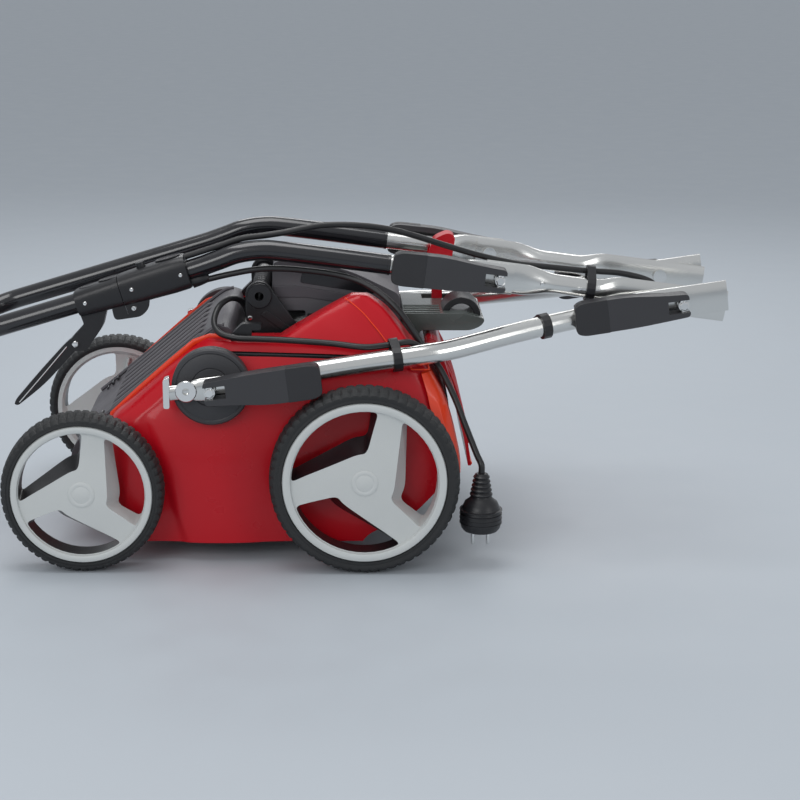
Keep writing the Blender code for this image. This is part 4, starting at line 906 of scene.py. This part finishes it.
def make_bars():
    for side, tag in SIDES:
        path = curve_path([(x, side * y, z) for x, y, z in LOWER_BAR], 7)
        sizes = [thinner(neck_size(p.x), end_size(abs(p.x - JOINT2[0]), 0.07, 0.11)) for p in path]
        bar = tube(f"lower_tube_{tag}", path, sizes, "tube_steel", "lower_bars", sides=TUBE_SIDES)
        drill(bar, JOINT1, side)
        drill(bar, JOINT2, side)
        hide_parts(f"lower_bar_{tag}")
        flange = fillet([(-0.0735, 0.2065), (-0.0655, 0.2065), (-0.0655, 0.247), (-0.0735, 0.244)], 0.003, 3)
        slab(f"bar_flange_{tag}", flange, *span(side, 0.1915, 0.205), "chrome", "lower_bars", bevel=0.0012)
        collar = [(0.0045, 0), (0.0125, 0), (0.0135, 0.001), (0.0135, 0.004), (0.0125, 0.005),
                  (0.0045, 0.005)]
        lathe(f"bar_collar_{tag}", collar, (JOINT1[0] - 0.03, side * (LOWER_Y + FLAT_B - 0.001), 0.229),
              "chrome", "lower_bars", axis=(0, side, 0), sides=TUBE_SIDES)

        j2, j3 = Vector((JOINT2[0], 0, JOINT2[1])), Vector((JOINT3[0], 0, JOINT3[1]))
        along = (j3 - j2).normalized()
        reach = (j3 - j2).length
        count = 44
        path = [j2 + along * (-0.06 + (reach + 0.078) * i / count) + Vector((0, side * MIDDLE_Y, 0))
                for i in range(count + 1)]
        sizes = [thinner(end_size(flat_distance(p, JOINT2), 0.075, 0.115),
                         end_size(flat_distance(p, JOINT3), 0.03, 0.075))
                 for p in path]
        bar = tube(f"middle_tube_{tag}", path, sizes, "tube_steel", "middle_bars", sides=TUBE_SIDES)
        drill(bar, JOINT2, side)
        drill(bar, JOINT3, side)
        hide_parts(f"middle_bar_{tag}")
        for k, x in enumerate((0.452, 0.404)):
            t = (x - JOINT2[0]) / (JOINT3[0] - JOINT2[0])
            z = JOINT2[1] + (JOINT3[1] - JOINT2[1]) * t
            lathe(f"bar_rivet_{tag}_{k}", [(0, 0), (0.003, 0), (0.0026, 0.0014), (0, 0.002)],
                  (x, side * (MIDDLE_Y + TUBE_R - 0.0006), z), "chrome", "middle_bars",
                  axis=(0, side, 0), sides=20)

        start = Vector((UPPER_SIDE[0][0] + 0.0003, side * UPPER_Y, UPPER_SIDE[0][1]))
        pivot = Vector((JOINT3[0], side * UPPER_Y, JOINT3[1]))
        along = (pivot - start).normalized()
        reach = (pivot - start).length
        count = 28
        path = [start + along * ((reach + 0.018) * i / count) for i in range(count + 1)]
        sizes = [end_size(flat_distance(p, JOINT3), 0.03, 0.075, TUBE_R - 0.0005) for p in path]
        end = tube(f"upper_tip_{tag}", path, sizes, "tube_steel", "upper_handle", sides=TUBE_SIDES)
        drill(end, JOINT3, side)
        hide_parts(f"upper_end_{tag}")


def grip_z(x):
    return 0.3615 + 0.3 * (x + 0.04)


def make_upper_handle():
    left = [(x, -UPPER_Y, z) for x, z in UPPER_SIDE]
    left += [(x, -UPPER_Y, grip_z(x)) for x in (-0.1, -0.2, U_END_X + CORNER + 0.03)]
    bend = []
    steps = 14
    for i in range(steps + 1):
        a = radians(90 * i / steps)
        x = U_END_X + CORNER - CORNER * sin(a)
        bend.append(Vector((x, -UPPER_Y + CORNER * (1 - cos(a)), grip_z(x))))
    half = curve_path(left, 6) + bend
    path = half + [Vector((p.x, -p.y, p.z)) for p in reversed(half)]
    rings = []
    for i, point in enumerate(path):
        along = (path[min(i + 1, len(path) - 1)] - path[max(i - 1, 0)]).normalized()
        up = Vector((-0.287, 0, 0.958)) if point.x < -0.05 else Vector((0, 0, 1))
        wide = along.cross(up).normalized()
        high = wide.cross(along).normalized()
        turns = [2 * pi * k / TUBE_SIDES for k in range(TUBE_SIDES)]
        rings.append([point + (high * cos(t) + wide * sin(t)) * TUBE_R for t in turns])
    handle = finish_mesh("handle_tube", rings_bmesh(rings), "tube_black", "upper_handle")
    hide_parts("upper_handle")
    for side, tag in SIDES:
        x0, z0 = UPPER_SIDE[0]
        cuff = [(0.0126, -0.004), (0.0134, -0.0034), (0.0136, 0.0), (0.0126, 0.0003)]
        toward = Vector((JOINT3[0] - x0, 0, JOINT3[1] - z0)).normalized()
        lathe(f"handle_cuff_{tag}", cuff, (x0, side * UPPER_Y, z0), "tube_black", "upper_handle", axis=toward,
              sides=40)


# ---------------------------------------------------------------- clamps
LEVER_THICK = 0.022
CLAMPS = {   # joint, direction in degrees, outer face it bears on, face of its trough
    1: (JOINT1, 7, LOWER_Y + FLAT_B, 0.208),
    2: (JOINT2, 188, LOWER_Y2 + 0.008, 0.1125),
    3: (JOINT3, 173, UPPER_Y + FLAT_B, 0.1045),
}


def lever_points(joint, direction, shape):
    d = radians(direction)
    return [(joint[0] + a * cos(d) - b * sin(d), joint[1] + a * sin(d) + b * cos(d)) for a, b in shape]


def make_clamps():
    for number, (joint, direction, outer, trough_y) in CLAMPS.items():
        for side, hand in SIDES:
            tag = f"{number}_{hand}"
            body = f"clamp_lever_{tag}"
            y0 = outer + 0.0012
            shape = [(-0.007, -0.015), (0.03, -0.0175), (0.07, -0.0225), (0.128, -0.0215), (0.138, -0.017),
                     (0.138, 0.017), (0.128, 0.0205), (0.06, 0.019), (0.025, 0.0165), (-0.007, 0.014)]
            radii = [0.005, 0.02, 0.018, 0.006, 0.005, 0.005, 0.006, 0.02, 0.018, 0.005]
            lever = slab(f"lever_{tag}", fillet(lever_points(joint, direction, shape), radii, 5),
                         *span(side, y0, y0 + LEVER_THICK),
                         "lever_grey", body, bevel=0.0042, segments=4, angle=50)
            slot = lever_points(joint, direction, ((-0.02, -0.008), (0.02, -0.008), (0.02, 0.008),
                                                   (-0.02, 0.008)))
            cut(lever, slab_bmesh(slot, *span(side, y0 - 0.01, y0 + 0.04)))
            trough = lever_points(joint, direction, ((0.034, -0.015), (0.15, -0.015), (0.15, 0.015),
                                                     (0.034, 0.015)))
            cut(lever, slab_bmesh(trough, *span(side, y0 - 0.01, trough_y)))
            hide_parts(f"clamp_lever_{tag}")
            pad = [(0.096, -0.0226), (0.128, -0.0219), (0.1384, -0.0174), (0.1384, 0.0174), (0.128, 0.0209),
                   (0.096, 0.0203)]
            slab(f"lever_pad_{tag}", fillet(lever_points(joint, direction, pad),
                                            [0.001, 0.006, 0.005, 0.005, 0.006, 0.001], 4),
                 *span(side, y0 + 0.01, y0 + LEVER_THICK + 0.0004), "lever_dark", body, bevel=0.004,
                 segments=4, angle=50)
            across = Vector((-sin(radians(direction)), 0, cos(radians(direction))))
            centre = Vector((joint[0], side * (y0 + 0.012), joint[1]))
            barrel = [(0, -0.0125), (0.0052, -0.0125), (0.006, -0.0117), (0.006, 0.0117), (0.0052, 0.0125),
                      (0, 0.0125)]
            lathe(f"lever_barrel_{tag}", barrel, centre, "chrome", body, axis=across, sides=28)
            nut = [(0, 0), (0.0062, 0), (0.0062, 0.0042), (0.005, 0.005), (0, 0.005)]
            lathe(f"lever_nut_{tag}", nut, (joint[0], side * (y0 + 0.016), joint[1]), "chrome", body,
                  axis=(0, side, 0), sides=6, smooth=20)


# ---------------------------------------------------------------- switch box
SWITCH_PIVOT = (-0.194, 0.265)


def make_switch():
    y = -UPPER_Y
    x0, x1 = -0.19, -0.048
    slope = Vector((1, 0, 0.3)).normalized()
    high = Vector((-slope.z, 0, slope.x))
    a, b = Vector((x0, y, grip_z(x0))), Vector((x1, y, grip_z(x1)))
    rings = []
    stations = ((0.0, 0.74), (0.02, 0.8), (0.25, 0.88), (0.55, 1.0), (0.86, 1.06), (0.98, 1.04), (1.0, 0.98))
    for t, k in stations:
        p = a.lerp(b, t)
        ring = []
        for i in range(40):
            turn = 2 * pi * i / 40
            c, s = cos(turn), sin(turn)
            h = 0.0212 * k * (abs(c) ** 0.55) * (1 if c > 0 else -1)
            w = 0.0218 * (0.92 + 0.08 * k) * (abs(s) ** 0.55) * (1 if s > 0 else -1)
            ring.append(p + high * h + Vector((0, w, 0)))
        rings.append(ring)
    box = finish_mesh("switch_sleeve", rings_bmesh(rings), "black", "upper_handle", smooth=40)
    leg = [(-0.19, 0.312), (-0.152, 0.312), (-0.158, 0.288), (-0.18, 0.256), (-0.197, 0.255), (-0.204, 0.266),
           (-0.182, 0.29)]
    cut(box, slab_bmesh(fillet(leg, 0.004, 4), y - 0.01, y + 0.01), "UNION")
    hook = [(-0.146, 0.316), (-0.096, 0.334), (-0.098, 0.312), (-0.108, 0.302), (-0.142, 0.297)]
    cut(box, slab_bmesh(fillet(hook, 0.006, 4), y - 0.016, y - 0.01), "UNION")
    bore = sweep_bmesh([a - slope * 0.05, b + slope * 0.05], (TUBE_R + 0.0002, TUBE_R + 0.0002), 40)
    cut(box, bore)
    slot = [(-0.26, 0.19), (-0.184, 0.248), (-0.176, 0.276), (-0.19, 0.29), (-0.26, 0.292)]
    cut(box, slab_bmesh(slot, y - 0.0053, y + 0.0053))
    cut(box, cross_pin(*SWITCH_PIVOT, 0.003, y - 0.02, y + 0.02, 20))
    seam = a.lerp(b, 0.4)
    cut(box, sweep_bmesh([seam - high * 0.03, seam + high * 0.03], (0.0006, 0.03), 12))
    well = a.lerp(b, 0.62)
    cut(box, sweep_bmesh([well + high * 0.012, well + high * 0.05], (0.0066, 0.0066), 32))
    soften(box.data, 40)
    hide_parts("switch_box")
    for k, (t, height) in enumerate(((0.16, 0.0165), (0.34, 0.0185), (0.86, 0.0222))):
        oval = lathe_bmesh([(0, 0), (0.01, 0), (0.0108, 0.001), (0.0096, 0.0018), (0.0085, 0.001),
                            (0, 0.001)],
                           (0, 0, 0), high, 40)
        for v in oval.verts:
            v.co = v.co + slope * (v.co.dot(slope) * 0.6)
        bmesh.ops.translate(oval, verts=oval.verts, vec=a.lerp(b, t) + high * height)
        finish_mesh(f"switch_oval_{k}", oval, "lever_dark", "upper_handle", "black")
    for k, t in enumerate((0.08, 0.5, 0.94)):
        p = a.lerp(b, t) + Vector((0, -0.0212, 0))
        screw(f"switch_screw_{k}", p, (0, -1, 0), 0.0026, "upper_handle", height=0.0012, cross=False)
    screw("switch_hook_screw", (-0.117, y - 0.016, 0.313), (0, -1, 0), 0.0036, "upper_handle")
    screw("switch_pivot_bolt", (SWITCH_PIVOT[0], y - 0.0125, SWITCH_PIVOT[1]), (0, -1, 0), 0.0042,
          "switch_lever",
          cross=False)
    boot = [(0.0062, 0.0), (0.0085, 0.0), (0.0078, 0.01), (0.0066, 0.018), (0.0046, 0.022), (0.0046, 0.0)]
    lathe("cable_boot_mains", boot, b + high * -0.0158 + slope * 0.0005, "black", "upper_handle",
          axis=slope, sides=28)
    shape = [(-0.189, 0.266), (-0.1915, 0.2715), (-0.1975, 0.2725), (-0.208, 0.264), (-0.245, 0.224),
             (-0.275, 0.189), (-0.277, 0.183), (-0.272, 0.1815), (-0.236, 0.21), (-0.196, 0.254),
             (-0.1905, 0.259)]
    radii = [0.003, 0.003, 0.003, 0.01, 0.02, 0.003, 0.002, 0.003, 0.02, 0.006, 0.003]
    lever = slab("bail_lever", fillet(shape, radii, 4), y - 0.0048, y + 0.0048, "black", "switch_lever",
                 bevel=0.0016, segments=3, angle=50)
    cut(lever, cross_pin(*SWITCH_PIVOT, 0.0026, y - 0.0125, y + 0.0125, 20), "UNION")
    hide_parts("switch_lever")
    wire = [(-0.206, y - 0.0052, 0.26), (-0.242, y - 0.0056, 0.218), (-0.27, y - 0.0054, 0.186)]
    tube("bail_wire", curve_path(wire, 5), (0.0009, 0.0009), "chrome", "switch_lever", "black", sides=10)


make_camera()
make_cords()
make_lights()
make_wheels()
make_deck()
make_deck_trim()
make_discs()
make_hood()
make_cover()
make_carry_handle()
make_rear()
make_bars()
make_upper_handle()
make_clamps()
make_switch()
make_floor()

CAD_LOOKS = {
    "black": ("lock_button", "blade_hub", "bar_clip_front", "bar_clip_rear", "cable_strap"),
    "steel": ("lower_bearing", "motor_end_cap", "upper_bearing", "motor_rotor", "blade_bolt", "blade",
              "front_axle", "rear_axle", "flap_pin", "flap_spring"),
    "copper": ("motor_stator",),
    "chrome": tuple(f"clamp_bolt_{n}_{s}" for n in (1, 2, 3) for s in ("left", "right")),
}
for look, names in CAD_LOOKS.items():
    for node in names:
        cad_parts[node].data.materials.clear()
        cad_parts[node].data.materials.append(MAT[look])
